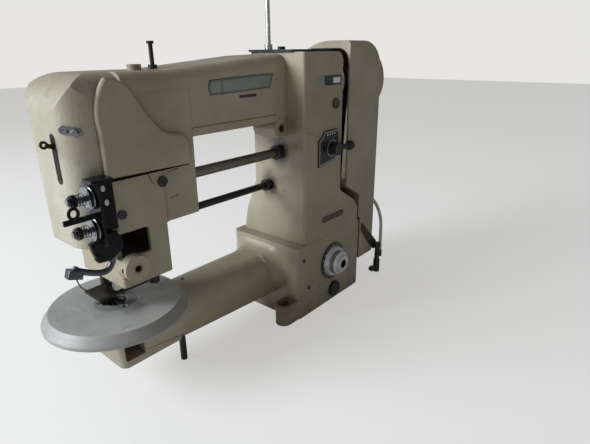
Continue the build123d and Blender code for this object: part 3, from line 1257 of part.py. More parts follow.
# Eyelet plate on the rounded front corner of the head
corner_x = head_left_x + head_corner_r * (1 - cos(radians(45)))
corner_y = head_front_y + head_corner_r * (1 - sin(radians(45)))
eyelet_plane = Plane(origin=(corner_x, corner_y, 331), x_dir=(1, -1, 0), z_dir=(-1, -1, 0))
with BuildPart() as eyelet_plate:
    with BuildSketch(eyelet_plane):
        with Locations((0, 0)):
            SlotOverall(21, 8, rotation=-12)
        with Locations((-6.5, 1.4), (-1.2, 0.2)):
            Circle(1.6, mode=Mode.SUBTRACT)
    extrude(amount=1.4)
    with BuildSketch(eyelet_plane):
        with Locations((4.5, -1.6)):
            Circle(3.4)
    extrude(amount=3.4)
save(eyelet_plate, "eyelet_plate")

# Tension bracket: front flange, side plate and top flange in one bent sheet
with BuildPart() as tension_bracket:
    flange_y = head_front_y
    box_at(tension_x, block_left_x + 1, flange_y - tension_plate_t, flange_y, bracket_flange_z,
           front_cover_bottom_z - part_gap)
    box_at(tension_x, tension_x + tension_plate_t, flange_y - bracket_depth, flange_y, bracket_bottom_z,
           bracket_top_z)
    box_at(tension_x - 4, front_cover_left_x - part_gap, flange_y - bracket_depth + 3, flange_y, bracket_top_z,
           bracket_top_z + tension_plate_t)
    for unit_z in (tension_upper_z, tension_lower_z):
        bore_x(tension_stud_r, tension_x - 1, tension_x + tension_plate_t + 1, tension_y, unit_z)
save(tension_bracket, "tension_bracket")

stud_collar_t = 1.2
disc_dish = 2.2
disc_t = 0.8
disc_x = tension_x - stud_collar_t - 0.3 - disc_dish - disc_t
spring_x = disc_x - disc_dish - disc_t
spring_length = 9.0
spring_turns = 3.5
nut_x = spring_x - spring_length
stud_end_x = nut_x - 8.0


# Two dished discs a side, back to back, that pinch the thread between them
with BuildPart() as tension_discs:
    for axis_z in (tension_upper_z, tension_lower_z):
        for side in (-1, 1):
            with BuildSketch(Plane.XY.offset(axis_z)):
                with BuildLine():
                    Polyline(
                        (disc_x + side * 0.2, tension_y + tension_stud_r + fit),
                        (disc_x + side * 0.2, tension_y + tension_disc_r - 4),
                        (disc_x + side * disc_dish, tension_y + tension_disc_r),
                        (disc_x + side * (0.2 + disc_t), tension_y + tension_disc_r - 3),
                        (disc_x + side * (0.2 + disc_t), tension_y + tension_stud_r + fit),
                        close=True,
                    )
                make_face()
            revolve(axis=Axis((0, tension_y, axis_z), (1, 0, 0)))
save(tension_discs, "tension_discs")

# Coil between the discs and each nut, a little wider at the discs
with BuildPart() as tension_springs:
    for axis_z in (tension_upper_z, tension_lower_z):
        with BuildLine():
            path = Helix(
                pitch=spring_length / spring_turns,
                height=spring_length - 1.8,
                radius=6.2,
                cone_angle=-8,
                center=(spring_x - 0.6, tension_y, axis_z),
                direction=(-1, 0, 0),
            )
        with BuildSketch(Plane(path @ 0, z_dir=path % 0)):
            RegularPolygon(0.6, 4)
        sweep(is_frenet=True)
save(tension_springs, "tension_springs")


def thumb_nut(axis_z):
    """Thumb nut with a lobed rim and a threaded collar."""
    with BuildPart() as nut:
        with BuildSketch(Plane.YZ.offset(nut_x - 4)):
            with Locations((tension_y, axis_z)):
                Circle(tension_nut_r)
                with PolarLocations(tension_nut_r + 0.6, 6):
                    Circle(1.7, mode=Mode.SUBTRACT)
        extrude(amount=4)
        bore_x(tension_nut_r - 1.8, nut_x - 6, nut_x + 1, tension_y, axis_z, mode=Mode.ADD)
        bore_x(tension_stud_r + fit, nut_x - 7, nut_x + 2, tension_y, axis_z)
    return nut


save(thumb_nut(tension_upper_z), "upper_tension_nut")
save(thumb_nut(tension_lower_z), "lower_tension_nut")

with BuildPart() as tension_studs:
    for axis_z in (tension_upper_z, tension_lower_z):
        bore_x(tension_stud_r, stud_end_x, tension_x + tension_plate_t, tension_y, axis_z, mode=Mode.ADD)
        bore_x(tension_stud_r + 2, tension_x - stud_collar_t, tension_x, tension_y, axis_z, mode=Mode.ADD)
save(tension_studs, "tension_studs")

# Wire loop guide between the two tensions
loop_z = (tension_upper_z + tension_lower_z) / 2
loop_y = tension_y - 9.0
loop_r = 6.6
with BuildPart() as loop_guide:
    bore_y(loop_r, loop_y - 1, loop_y + 1, tension_x - 22, loop_z, mode=Mode.ADD)
    bore_y(loop_r - 2, loop_y - 2, loop_y + 2, tension_x - 22, loop_z)
    bore_x(1.1, tension_x - 23 + loop_r, tension_x, loop_y, loop_z, mode=Mode.ADD)
save(loop_guide, "loop_guide")

# Curved guide arm below the tensions, with its block and the guide wire that reaches to the needle
arm_plane_y = tension_y
guide_block_x = tension_x - 29.5
guide_block_z = tension_lower_z - 39.0
guide_dip_z = guide_block_z - 10.0
guide_wire_z = guide_block_z - 43.0
with BuildPart() as thread_guide_arm:
    with BuildLine() as guide_line:
        FilletPolyline(
            (tension_x + tension_plate_t + guide_arm_r + 0.1, arm_plane_y, bracket_flange_z),
            (tension_x + 11, arm_plane_y, guide_block_z + 2),
            (tension_x - 4, arm_plane_y, guide_dip_z),
            (guide_block_x + 2, arm_plane_y, guide_block_z + 1),
            radius=8,
        )
    with BuildSketch(Plane(guide_line.line @ 0, z_dir=guide_line.line % 0)):
        Circle(guide_arm_r)
    sweep()
    with Locations(Location((guide_block_x, arm_plane_y, guide_block_z), (0, 20, 0))):
        Box(15, 10, 9)
        with Locations((0, 0, 6)):
            Cylinder(2.6, 3)
    with BuildLine() as wire_line:
        FilletPolyline(
            (guide_block_x + 1, arm_plane_y + 1, guide_block_z - 3),
            (guide_block_x + 4, arm_plane_y + 6, guide_block_z - 17),
            (guide_block_x + 20, arm_plane_y + 26, guide_wire_z + 6),
            (guide_block_x + 32, arm_plane_y + 40, guide_wire_z),
            radius=9,
        )
    with BuildSketch(Plane(wire_line.line @ 0, z_dir=wire_line.line % 0)):
        RegularPolygon(0.8, 4)
    sweep()
save(thread_guide_arm, "thread_guide_arm")

# Strap, valve and hose at the cover's right foot
valve_x = cover_right_x + 2.0
valve_y = cover_front_y - strap_t - valve_r
hose_start = (valve_x + valve_r + 4, valve_y, strap_low_z - 6)
hose_end = (cover_right_x + 6, -8, 152)
with BuildPart() as air_valve:
    with BuildSketch(Plane.XZ.offset(-cover_front_y)):
        with BuildLine():
            Polyline(
                (base_right_x + 6, strap_top_z),
                (base_right_x + 6, strap_top_z - 14),
                (valve_x - 5, strap_low_z),
                (valve_x + 4, strap_low_z),
                (valve_x + 4, strap_low_z + 14),
                close=True,
            )
        make_face()
    extrude(amount=strap_t)
    bore_z(valve_r, valve_bottom_z, valve_bottom_z + 24, valve_x, valve_y, mode=Mode.ADD)
    bore_z(valve_r - 1.5, valve_bottom_z + 23, valve_top_z - 10, valve_x, valve_y, mode=Mode.ADD)
    with BuildSketch(Plane.XY.offset(valve_top_z)):
        with Locations((valve_x, valve_y)):
            RegularPolygon(valve_r, 6)
    extrude(amount=-10)
    bore_y(3, valve_y, cover_front_y - strap_t + 0.5, valve_x, valve_top_z - 5, mode=Mode.ADD)
    bore_x(2.5, valve_x, hose_start[0], valve_y, hose_start[2] - 8, mode=Mode.ADD)
    bore_z(hose_r + 1, hose_start[2] - 12, hose_start[2], hose_start[0], valve_y, mode=Mode.ADD)
    bore_x(2.2, valve_x - 16, valve_x, valve_y, valve_bottom_z + 11, mode=Mode.ADD)
    bore_x(5, valve_x - 20, valve_x - 14, valve_y, valve_bottom_z + 11, mode=Mode.ADD)
save(air_valve, "air_valve")

hose_points = [
    hose_start,
    (hose_start[0], valve_y, 68),
    (hose_start[0] + 8, valve_y + 5, 106),
    (hose_start[0] + 3, valve_y + 18, 139),
    (hose_end[0], -36, hose_end[2]),
    hose_end,
]
hose_radii = []
for before, here, after in zip(hose_points, hose_points[1:], hose_points[2:]):
    run_in = Vector(here) - Vector(before)
    run_out = Vector(after) - Vector(here)
    turn = radians(run_in.get_angle(run_out))
    hose_radii.append(0.45 * min(run_in.length, run_out.length) / tan(turn / 2))
print("hose radii", [round(radius, 1) for radius in hose_radii])
with BuildPart() as hose:
    with BuildLine() as hose_line:
        FilletPolyline(*hose_points, radius=hose_radii)
    with BuildSketch(Plane(hose_line.line @ 0, z_dir=hose_line.line % 0)):
        Circle(hose_r)
    sweep()
hose_length = sum(edge.length for edge in hose_line.edges())
print("hose volume over section times length", hose.part.volume / (pi * hose_r ** 2 * hose_length))
save(hose, "hose")

with BuildPart() as hose_elbow:
    box_at(cover_right_x, hose_end[0] + 5, hose_end[1], hose_end[1] + 10, hose_end[2] - 5, hose_end[2] + 5)
    fillet(hose_elbow.edges().filter_by(Axis.Y).group_by(Axis.X)[-1], 2)
save(hose_elbow, "hose_elbow")


# Slotted screw heads on the head block and the base: x, face, z and radius of each
screw_spots = [
    (-281.5, block_front_y, 264, 6),
    (-334.5, block_front_y, 239, 5),
    (-71, base_front_y, 98, 3),
    (-59, base_front_y, 48, 3),
]
with BuildPart() as slotted_screws:
    for x, face_y, z, radius in screw_spots:
        bore_y(radius, face_y - 0.4 * radius, face_y, x, z, mode=Mode.ADD)
        with Locations((x, face_y - 0.4 * radius, z)):
            Box(3 * radius, 0.4 * radius, 0.25 * radius, rotation=(0, 35, 0), mode=Mode.SUBTRACT)
save(slotted_screws, "slotted_screws")
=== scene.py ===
import math
from collections import namedtuple

import bmesh
import bpy
from bpy.props import FloatProperty, FloatVectorProperty, IntProperty, PointerProperty
from mathutils import Matrix, Vector


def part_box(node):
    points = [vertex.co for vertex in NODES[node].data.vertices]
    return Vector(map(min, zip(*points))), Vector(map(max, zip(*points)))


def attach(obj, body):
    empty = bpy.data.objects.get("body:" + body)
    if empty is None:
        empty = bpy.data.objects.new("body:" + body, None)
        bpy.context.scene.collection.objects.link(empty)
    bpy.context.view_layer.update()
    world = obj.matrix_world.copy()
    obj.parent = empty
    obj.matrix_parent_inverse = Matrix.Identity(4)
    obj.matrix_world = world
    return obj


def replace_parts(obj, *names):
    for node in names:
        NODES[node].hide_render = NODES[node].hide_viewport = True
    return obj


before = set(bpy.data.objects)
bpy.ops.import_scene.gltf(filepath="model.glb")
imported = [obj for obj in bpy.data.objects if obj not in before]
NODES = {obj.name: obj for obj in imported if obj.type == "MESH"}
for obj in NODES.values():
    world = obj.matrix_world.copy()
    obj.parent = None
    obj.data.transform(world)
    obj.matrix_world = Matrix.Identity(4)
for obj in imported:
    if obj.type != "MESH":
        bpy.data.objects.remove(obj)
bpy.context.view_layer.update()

bl_info = {
    "name": "Cylinder-bed sewing machine",
    "version": (1, 0, 0),
    "blender": (4, 5, 0),
    "location": "3D View > Sidebar > Sewing machine",
    "description": "Finishes, guide arm, hose, plates, seams, dial marks and stage for the packed machine",
    "category": "Object",
}

MM = 0.001

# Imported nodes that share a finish
CASTINGS = ["head_front_cover", "arm_casting", "head_lower_block", "belt_cover", "base_plinth",
            "bed_casting", "bed_end_cap", "bed_bottom_cover", "handwheel"]
BRIGHT_STEEL = ["needle_bar", "needle_bar_clamp", "needle", "presser_bar", "shaft_bushes", "main_shaft",
                "needle_crank", "connecting_link", "hook_shaft", "feed_bar", "thread_stand_rod",
                "upper_pulley", "lower_pulley"]
CHROME = ["tension_discs", "tension_studs", "eyelet_plate", "bobbin_case", "rotary_hook"]
DARK_STEEL = ["presser_foot", "top_feed_foot", "top_feed_bar", "needle_clamp", "take_up_lever",
              "take_up_pin", "tension_springs", "thread_pin", "feed_dog"]
GLOSS_BLACK = ["tension_bracket", "upper_tension_nut", "lower_tension_nut"]
BLACK_PARTS = ["lever_plate", "stitch_lever", "top_plate", "rod_collars", "lower_rod", "hose_elbow",
               "support_leg"]

# Spots that finishes look for, in millimetres
NEEDLE_AXIS = (-333.0, 12.0)
SIGHT_PLUG = (4.0, -69.0, 327.0)
OIL_CAP = (-276.0, 2.0, 386.0)
ROD_COLLARS = ((-69.0, -22.0, 261.0), (-69.0, 1.0, 208.0))
ARM_BOSS = (-82.0, -44.0, 298.0)
BESIDE_ARM_BOSS = (-60.0, -44.0, 304.0)
NOSE_BOSS = (-331.5, -48.0, 178.5)
LUG_HOLE = (-102.5, -54.0, 33.0)
TABLE_SCAR = (-356.0, -50.0, 118.0)
DIAL_MOUTH = (4.0, -89.0, 72.4)

# Height that the grime round the foot reaches, in millimetres
GRIMY_FOOT = 70.0

# Y of the faces that look to the front, in millimetres
COVER_FACE = -38.0
BLOCK_FACE = -35.0
BLOCK_STEP_FACE = -33.0
ARM_FACE = -37.0
BED_FACE = -27.0
COLUMN_FACE = -69.0
BRACKET_FACE = -40.5

# Feed dial: its drum's radius at the back in millimetres, how much that shrinks for each millimetre
# forwards, the circle of dots on its backing ring, and the ticks from one number to the next
DRUM_FOOT_RADIUS = 26.0
DRUM_TAPER = 1 / 3.0
DOT_CIRCLE = 28.3
TICKS_A_NUMBER = 5

# Colours that several finishes share
SOOT = (0.020, 0.015, 0.010)
RUST = (0.060, 0.026, 0.014)
BACKDROP = (0.80, 0.79, 0.77, 1.0)

# Creases over these angles stay sharp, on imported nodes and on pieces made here
NODE_CREASE = math.radians(32)
PIECE_CREASE = math.radians(40)

# Camera: width of the picture and focal length in pixels, place in metres, angles in degrees
PICTURE_WIDTH = 590.0
FOCAL_LENGTH = 459.0
SENSOR_WIDTH = 36.0
EYE = (-0.56647, -0.47041, 0.400)
YAW, PITCH, ROLL = 49.8, 20.455, 0.5635

# A stain: its middle and reach in millimetres, the share of the reach where it is full, its squash along
# each axis, its colour and its strength
Stain = namedtuple("Stain", "spot radius core squash colour share")


class MachinePaint(bpy.types.PropertyGroup):
    """Colours and grain of the enamel."""
    enamel: FloatVectorProperty(name="Enamel", description="Beige enamel of the castings", subtype="COLOR",
                                size=3, min=0, max=1, default=(0.232, 0.190, 0.126))
    faded: FloatVectorProperty(name="Faded enamel", description="Paler enamel where light has bleached it",
                               subtype="COLOR", size=3, min=0, max=1, default=(0.300, 0.258, 0.188))
    stain: FloatVectorProperty(name="Stain", description="Brown of oil stains and handled edges",
                               subtype="COLOR", size=3, min=0, max=1, default=(0.085, 0.052, 0.028))
    grain: FloatProperty(name="Grain size", description="Width of one dimple of the hammered enamel",
                         default=0.0024, min=0.0005, max=0.01, precision=4, subtype="DISTANCE",
                         unit="LENGTH")


class MachineMetal(bpy.types.PropertyGroup):
    """Colours of the bare metals."""
    steel: FloatVectorProperty(name="Steel", description="Ground steel", subtype="COLOR", size=3, min=0,
                               max=1, default=(0.52, 0.51, 0.49))
    # Chrome's colour is kept dark: painted reflection of dark surroundings in the plated parts.
    chrome: FloatVectorProperty(name="Chrome", description="Plated small parts", subtype="COLOR", size=3,
                                min=0, max=1, default=(0.21, 0.21, 0.22))
    table: FloatVectorProperty(name="Table", description="Grey of the round work table", subtype="COLOR",
                               size=3, min=0, max=1, default=(0.315, 0.300, 0.275))


class MachineDial(bpy.types.PropertyGroup):
    """Marking of the feed dial."""
    ticks: IntProperty(name="Dial ticks", description="Marks round the feed dial", default=40, min=8,
                       max=120)


class MachineStage(bpy.types.PropertyGroup):
    """Floor and lamps."""
    floor: FloatVectorProperty(name="Floor", description="Colour of the floor and the backdrop",
                               subtype="COLOR", size=3, min=0, max=1, default=(0.86, 0.845, 0.81))
    window: FloatProperty(name="Window lamp", description="Power of the broad lamp on the left",
                          default=78.0, min=0, max=200, unit="POWER")
    fill: FloatProperty(name="Fill lamp", description="Power of the soft lamp in front", default=1.3, min=0,
                        max=200, unit="POWER")
    sky: FloatProperty(name="Room light", description="Strength of the light from all round", default=0.28,
                       min=0, max=5)


def mm(*values):
    """Millimetres as metres."""
    return tuple(value * MM for value in values)


class Finish:
    """Node tree of one finish, with short calls for the nodes that it needs."""

    def __init__(self, name):
        self.material = bpy.data.materials.new(name)
        self.material.use_nodes = True
        self.tree = self.material.node_tree
        self.shader = self.tree.nodes["Principled BSDF"]
        self.place = self.add("ShaderNodeTexCoord").outputs["Object"]

    def add(self, kind, links=None, **settings):
        """New node: settings are its properties, links the values or outputs for its sockets."""
        node = self.tree.nodes.new(kind)
        for key, value in settings.items():
            setattr(node, key, value)
        for key, value in (links or {}).items():
            self.put(node, key, value)
        return node

    def put(self, node, key, value):
        """Value or link into one input socket."""
        if isinstance(value, bpy.types.NodeSocket):
            self.tree.links.new(value, node.inputs[key])
        else:
            node.inputs[key].default_value = value

    def set(self, **values):
        """Sockets of the main shader, by name with underscores."""
        for key, value in values.items():
            self.put(self.shader, key.replace("_", " "), value)

    def calc(self, operation, a, b):
        """One sum on two values."""
        return self.add("ShaderNodeMath", {0: a, 1: b}, operation=operation).outputs[0]

    def vector(self, operation, a, b=(0, 0, 0), output=0):
        """One sum on two vectors."""
        return self.add("ShaderNodeVectorMath", {0: a, 1: b}, operation=operation).outputs[output]

    def ramp(self, value, low, high, out_low=0.0, out_high=1.0):
        """Value stretched between two limits and clamped."""
        return self.add("ShaderNodeMapRange", {"Value": value, "From Min": low, "From Max": high,
                                               "To Min": out_low, "To Max": out_high}).outputs[0]

    def mix(self, share, a, b, blend="MIX"):
        """Mix of two colours."""
        node = self.add("ShaderNodeMix", {"Factor": share}, data_type="RGBA", blend_type=blend)
        for socket, value in ((6, a), (7, b)):
            self.put(node, socket, value if isinstance(value, bpy.types.NodeSocket) else (*value, 1.0))
        return node.outputs[2]

    def lay(self, colour, mask, share, shade):
        """Colour with a share of another laid over it where a mask is high."""
        return self.mix(self.calc("MULTIPLY", mask, share), colour, shade)

    def noise(self, scale, detail=3.0, rough=0.5, at=None, stretch=None):
        """Noise value; a stretch squeezes the pattern along some axes."""
        where = at or self.place
        if stretch:
            where = self.add("ShaderNodeMapping", {"Vector": where, "Scale": stretch}).outputs[0]
        return self.add("ShaderNodeTexNoise", {"Vector": where, "Scale": scale, "Detail": detail,
                                               "Roughness": rough}).outputs["Fac"]

    def patches(self, scale, low, high, detail=4.0, rough=0.6, stretch=None):
        """Soft patches of a noise, from none at its low value to full at its high one."""
        return self.ramp(self.noise(scale, detail, rough, stretch=stretch), low, high)

    def cells(self, scale):
        """Distance to the nearest cell centre, with soft borders."""
        return self.add("ShaderNodeTexVoronoi", {"Vector": self.place, "Scale": scale, "Smoothness": 1.0},
                        feature="SMOOTH_F1").outputs["Distance"]

    def axis(self, name):
        """One coordinate in metres."""
        return self.add("ShaderNodeSeparateXYZ", {"Vector": self.place}).outputs[name]

    def round_axis(self, axis_x, axis_y):
        """Distance in millimetres from an upright axis."""
        away = self.vector("SUBTRACT", self.place, mm(axis_x, axis_y, 0))
        flat = self.vector("MULTIPLY", away, (1 / MM, 1 / MM, 0))
        return self.vector("LENGTH", flat, output="Value")

    def band(self, value, low, high, soft):
        """High between two limits, with soft shoulders."""
        return self.calc("MULTIPLY", self.ramp(value, low - soft, low), self.ramp(value, high + soft, high))

    def near(self, spot, radius, core=0.5, squash=(1, 1, 1)):
        """High round a spot, in millimetres; squash over 1 makes the patch narrower along that axis."""
        away = self.vector("SUBTRACT", self.place, mm(*spot))
        reach = self.vector("LENGTH", self.vector("MULTIPLY", away, squash), output="Value")
        return self.ramp(reach, radius * MM, radius * core * MM)

    def edges(self, radius):
        """High where the surface turns over an edge within the radius."""
        bevel = self.add("ShaderNodeBevel", {"Radius": radius}, samples=4).outputs[0]
        normal = self.add("ShaderNodeNewGeometry").outputs["Normal"]
        return self.ramp(self.vector("DOT_PRODUCT", bevel, normal, output="Value"), 0.98, 0.80)

    def worn_edges(self, radius, scale, low, high):
        """Edges within the radius, broken up by a noise."""
        breaks = self.patches(scale, low, high, detail=3.0, rough=0.5)
        return self.calc("MULTIPLY", self.edges(radius), breaks)

    def bump(self, height, strength, distance, soft=0.0):
        """Bumped normal, with corners rounded where soft gives a radius."""
        links = {"Height": height, "Strength": strength, "Distance": distance}
        if soft:
            links["Normal"] = self.add("ShaderNodeBevel", {"Radius": soft}, samples=6).outputs[0]
        self.set(Normal=self.add("ShaderNodeBump", links).outputs[0])


def dimmed(colour, share):
    """Colour times a share."""
    return tuple(c * share for c in colour)


def enamel(name, paint, dimple, tint, rough, stains=(), coat=0.12):
    """Beige enamel, dimpled and faded, with blots, a grimy foot, painted shade in its corners, handled
    edges and stains.
    """
    finish = Finish(name)
    brown = paint.stain[:]
    colour = finish.mix(finish.patches(scale=9.0, low=0.42, high=0.66), paint.enamel[:], paint.faded[:])
    colour = finish.mix(0.5, colour, tint, blend="MULTIPLY")
    blots = finish.patches(scale=28.0, low=0.60, high=0.78, detail=5.0, rough=0.65)
    colour = finish.lay(colour, blots, 0.35, brown)
    foot = finish.ramp(finish.axis("Z"), GRIMY_FOOT * MM, 0.0)
    grime = finish.calc("MULTIPLY", foot, finish.patches(scale=40.0, low=0.35, high=0.7, rough=0.7))
    colour = finish.lay(colour, grime, 0.75, brown)
    handled = finish.worn_edges(radius=0.0018, scale=60.0, low=0.45, high=0.65)
    colour = finish.lay(colour, handled, 0.5, brown)
    # Painted shade: corners and gaps that the ambient occlusion finds closed in are darkened to near-black.
    corner_shade_ao = finish.add("ShaderNodeAmbientOcclusion", {"Distance": 0.014}, samples=6).outputs["AO"]
    colour = finish.mix(finish.ramp(corner_shade_ao, 0.55, 0.12, 0.0, 0.85), colour, (0.030, 0.022, 0.014))
    for stain in stains:
        ragged = finish.ramp(finish.noise(scale=150.0, detail=3.0, rough=0.6), 0.25, 0.6, 0.55, 1.0)
        around = finish.near(stain.spot, stain.radius, stain.core, stain.squash)
        colour = finish.lay(colour, finish.calc("MULTIPLY", around, ragged), stain.share, stain.colour)
    dimples = finish.cells(1.0 / paint.grain)
    mottle = finish.noise(scale=0.6 / paint.grain, detail=2.0)
    height = finish.calc("ADD", finish.calc("MULTIPLY", dimples, 0.7), finish.calc("MULTIPLY", mottle, 0.5))
    roughness = finish.ramp(mottle, 0.3, 0.7, rough, rough + 0.14)
    finish.set(Base_Color=colour, Roughness=roughness, Metallic=0.0, Coat_Weight=coat, Coat_Roughness=0.3)
    finish.bump(height, strength=dimple, distance=0.0006, soft=0.0016)
    return finish.material


def metal(name, colour, rough, streak=(1, 1, 1), dirt=0.25, scale=180.0):
    """Bare metal with fine streaks and some dull oil film."""
    finish = Finish(name)
    lines = finish.noise(scale, detail=3.0, rough=0.6, stretch=streak)
    shade = finish.lay(colour, finish.patches(scale=35.0, low=0.45, high=0.7), dirt, dimmed(colour, 0.35))
    finish.set(Base_Color=shade, Metallic=1.0, Roughness=finish.ramp(lines, 0.3, 0.7, rough, rough + 0.15))
    finish.bump(lines, strength=0.12, distance=0.0003, soft=0.0005)
    return finish.material


def dark_coat(name, colour, rough, worn, spots=(), gloss=0.35):
    """Black coat or plastic, dusty and scuffed to a lighter grey on its edges; spots recolour places."""
    finish = Finish(name)
    dust = finish.patches(scale=22.0, low=0.5, high=0.8, detail=5.0, rough=0.65)
    shade = finish.lay(colour, dust, 0.10, (0.16, 0.14, 0.11))
    for stain in spots:
        around = finish.near(stain.spot, stain.radius, stain.core, stain.squash)
        shade = finish.lay(shade, around, stain.share, stain.colour)
    scuffs = finish.worn_edges(radius=0.0009, scale=90.0, low=0.4, high=0.65)
    shade = finish.lay(shade, scuffs, worn, (0.22, 0.20, 0.18))
    finish.set(Base_Color=shade, Roughness=finish.ramp(dust, 0, 1, rough, rough + 0.2), Metallic=0.0,
               Specular_IOR_Level=gloss)
    finish.bump(finish.noise(scale=700.0, detail=2.0), strength=0.10, distance=0.0003, soft=0.0005)
    return finish.material


def turned_table(name, colour):
    """Round table: turned rings round the needle, scuffs, a paler rim that is worn and painted as a
    highlight, a bevel painted darker as shade, and a duller middle.
    """
    finish = Finish(name)
    radius = finish.round_axis(*NEEDLE_AXIS)
    ring = finish.add("ShaderNodeCombineXYZ", {"X": finish.calc("MULTIPLY", radius, 0.6)}).outputs[0]
    rings = finish.noise(scale=1.0, detail=3.0, rough=0.6, at=ring)
    patches = finish.patches(scale=18.0, low=0.40, high=0.70, detail=5.0)
    shade = finish.mix(patches, colour, dimmed(colour, 0.74))
    scuffs = finish.patches(scale=60.0, low=0.56, high=0.72, rough=0.7, stretch=(1.0, 0.35, 1.0))
    shade = finish.lay(shade, scuffs, 0.30, (0.46, 0.45, 0.43))
    hub = finish.ramp(radius, 44, 21)
    shade = finish.lay(shade, hub, 0.55, (0.20, 0.195, 0.185))
    scar = finish.near(TABLE_SCAR, radius=5.0, core=0.8, squash=(0.7, 1.3, 1))
    shade = finish.lay(shade, scar, 0.4, (0.15, 0.145, 0.135))
    # Painted shade: the bevel is darkened where it turns away from the light.
    bevel = finish.ramp(radius, 75.2, 76.0)
    shade = finish.lay(shade, bevel, 0.4, (0.14, 0.135, 0.125))
    # Paler rim: wear on the edge together with a painted highlight where the rim catches the light.
    rim = finish.edges(radius=0.0016)
    shade = finish.lay(shade, rim, 0.5, (0.45, 0.44, 0.42))
    finish.set(Base_Color=shade, Metallic=0.12, Roughness=finish.ramp(rings, 0.3, 0.7, 0.48, 0.62))
    finish.bump(rings, strength=0.10, distance=0.0002, soft=0.0012)
    return finish.material


def throat_steel():
    """Needle plate's ring: bright turned bands between dark ones, and a dark mouth; the dark groove and
    mouth are painted shade.
    """
    finish = Finish("throat_steel")
    radius = finish.round_axis(*NEEDLE_AXIS)
    film = finish.patches(scale=60.0, low=0.4, high=0.7)
    shade = finish.lay((0.34, 0.335, 0.32), film, 0.4, (0.10, 0.09, 0.08))
    # Painted shade: the groove's band and the mouth are drawn near-black.
    groove = finish.band(radius, low=9.0, high=11.6, soft=0.25)
    mouth = finish.band(radius, low=0.0, high=6.8, soft=0.3)
    shade = finish.mix(finish.calc("MAXIMUM", groove, mouth), shade, (0.018, 0.016, 0.014))
    finish.set(Base_Color=shade, Metallic=0.8, Roughness=finish.ramp(film, 0, 1, 0.28, 0.45))
    finish.bump(finish.noise(scale=900.0, detail=2.0), strength=0.06, distance=0.0002, soft=0.0003)
    return finish.material


def dial_alloy():
    """Pale satin alloy of the dial, with a dark knurled band and a dark mouth in its knob; the mouth is
    painted shade.
    """
    finish = Finish("dial_alloy")
    film = finish.patches(scale=70.0, low=0.45, high=0.7)
    shade = finish.lay((0.58, 0.575, 0.56), film, 0.3, (0.28, 0.27, 0.25))
    forward = finish.calc("MULTIPLY", finish.axis("Y"), -1 / MM)
    knurl = finish.band(forward, low=77.6, high=84.6, soft=0.2)
    shade = finish.lay(shade, knurl, 0.75, (0.09, 0.085, 0.08))
    # Painted shade inside the knob's mouth.
    mouth = finish.near(DIAL_MOUTH, radius=7.6, core=0.96, squash=(1, 0.2, 1))
    shade = finish.mix(mouth, shade, (0.012, 0.011, 0.010))
    finish.set(Base_Color=shade, Metallic=0.4, Roughness=finish.ramp(film, 0, 1, 0.36, 0.5))
    finish.bump(finish.noise(scale=500.0, detail=2.0), strength=0.08, distance=0.0002, soft=0.0004)
    return finish.material


def hose_plastic():
    """Yellowed clear plastic of the air hose."""
    finish = Finish("hose_plastic")
    film = finish.patches(scale=40.0, low=0.4, high=0.7, rough=0.5)
    finish.set(Base_Color=finish.mix(film, (0.52, 0.51, 0.45), (0.36, 0.36, 0.31)), Roughness=0.35)
    finish.bump(finish.noise(scale=300.0), strength=0.05, distance=0.0002)
    return finish.material


def plain_finish(name, colour, rough, metallic=0.0, worn=0.25, gloss=0.5):
    """Even printed or plated surface with a faint dull film; no gloss makes a hole or a seam look empty."""
    finish = Finish(name)
    film = finish.patches(scale=120.0, low=0.4, high=0.7)
    finish.set(Base_Color=finish.lay(colour, film, worn, dimmed(colour, 0.45)), Metallic=metallic,
               Roughness=finish.ramp(film, 0, 1, rough, rough + 0.15), Specular_IOR_Level=gloss)
    finish.bump(finish.noise(scale=900.0, detail=2.0), strength=0.06, distance=0.0002)
    return finish.material


def studio_floor(colour):
    """Pale floor; what the camera sees of it is drawn towards the backdrop's colour."""
    finish = Finish("studio_floor")
    finish.set(Base_Color=finish.mix(finish.noise(scale=3.0), colour, dimmed(colour, 0.97)), Roughness=0.6)
    plain = finish.add("ShaderNodeEmission", {"Color": BACKDROP, "Strength": 1.0})
    seen = finish.add("ShaderNodeLightPath").outputs["Is Camera Ray"]
    blend = finish.add("ShaderNodeMixShader", {0: finish.calc("MULTIPLY", seen, 0.6),
                                               1: finish.shader.outputs[0], 2: plain.outputs[0]})
    finish.put(finish.tree.nodes["Material Output"], "Surface", blend.outputs[0])
    return finish.material


def dress(names, material):
    """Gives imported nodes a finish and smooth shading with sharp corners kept."""
    for name in names:
        mesh = NODES[name].data
        mesh.materials.clear()
        mesh.materials.append(material)
        mesh.shade_smooth()
        mesh.set_sharp_from_angle(angle=NODE_CREASE)


def object_from(name, bm, material):
    """New object in the scene from a bmesh, which is freed."""
    mesh = bpy.data.meshes.new(name)
    bm.to_mesh(mesh)
    bm.free()
    mesh.materials.append(material)
    obj = bpy.data.objects.new(name, mesh)
    bpy.context.scene.collection.objects.link(obj)
    return obj


def piece_from(name, bm, material, body):
    """New piece from a bmesh, smooth between its creases, riding on a body."""
    obj = object_from(name, bm, material)
    obj.data.shade_smooth()
    obj.data.set_sharp_from_angle(angle=PIECE_CREASE)
    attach(obj, body)
    return obj


def front_facing(spot):
    """Matrix of a plate on a face that looks to -Y: its X runs to the right, its Z to the front."""
    return Matrix.Translation(mm(*spot)) @ Matrix.Rotation(math.radians(90), 4, "X")


def left_facing(spot):
    """Matrix of a plate on a face that looks to -X, upright, its Z out of the face."""
    return Matrix.Translation(mm(*spot)) @ Matrix(((0, 0, -1), (-1, 0, 0), (0, 1, 0))).to_4x4()


def up_facing(spot):
    """Matrix of a plate that lies flat, its Z upwards."""
    return Matrix.Translation(mm(*spot))


def oblong(left, low, right, high):
    """Outline of a rectangle, anticlockwise."""
    return [(left, low), (right, low), (right, high), (left, high)]


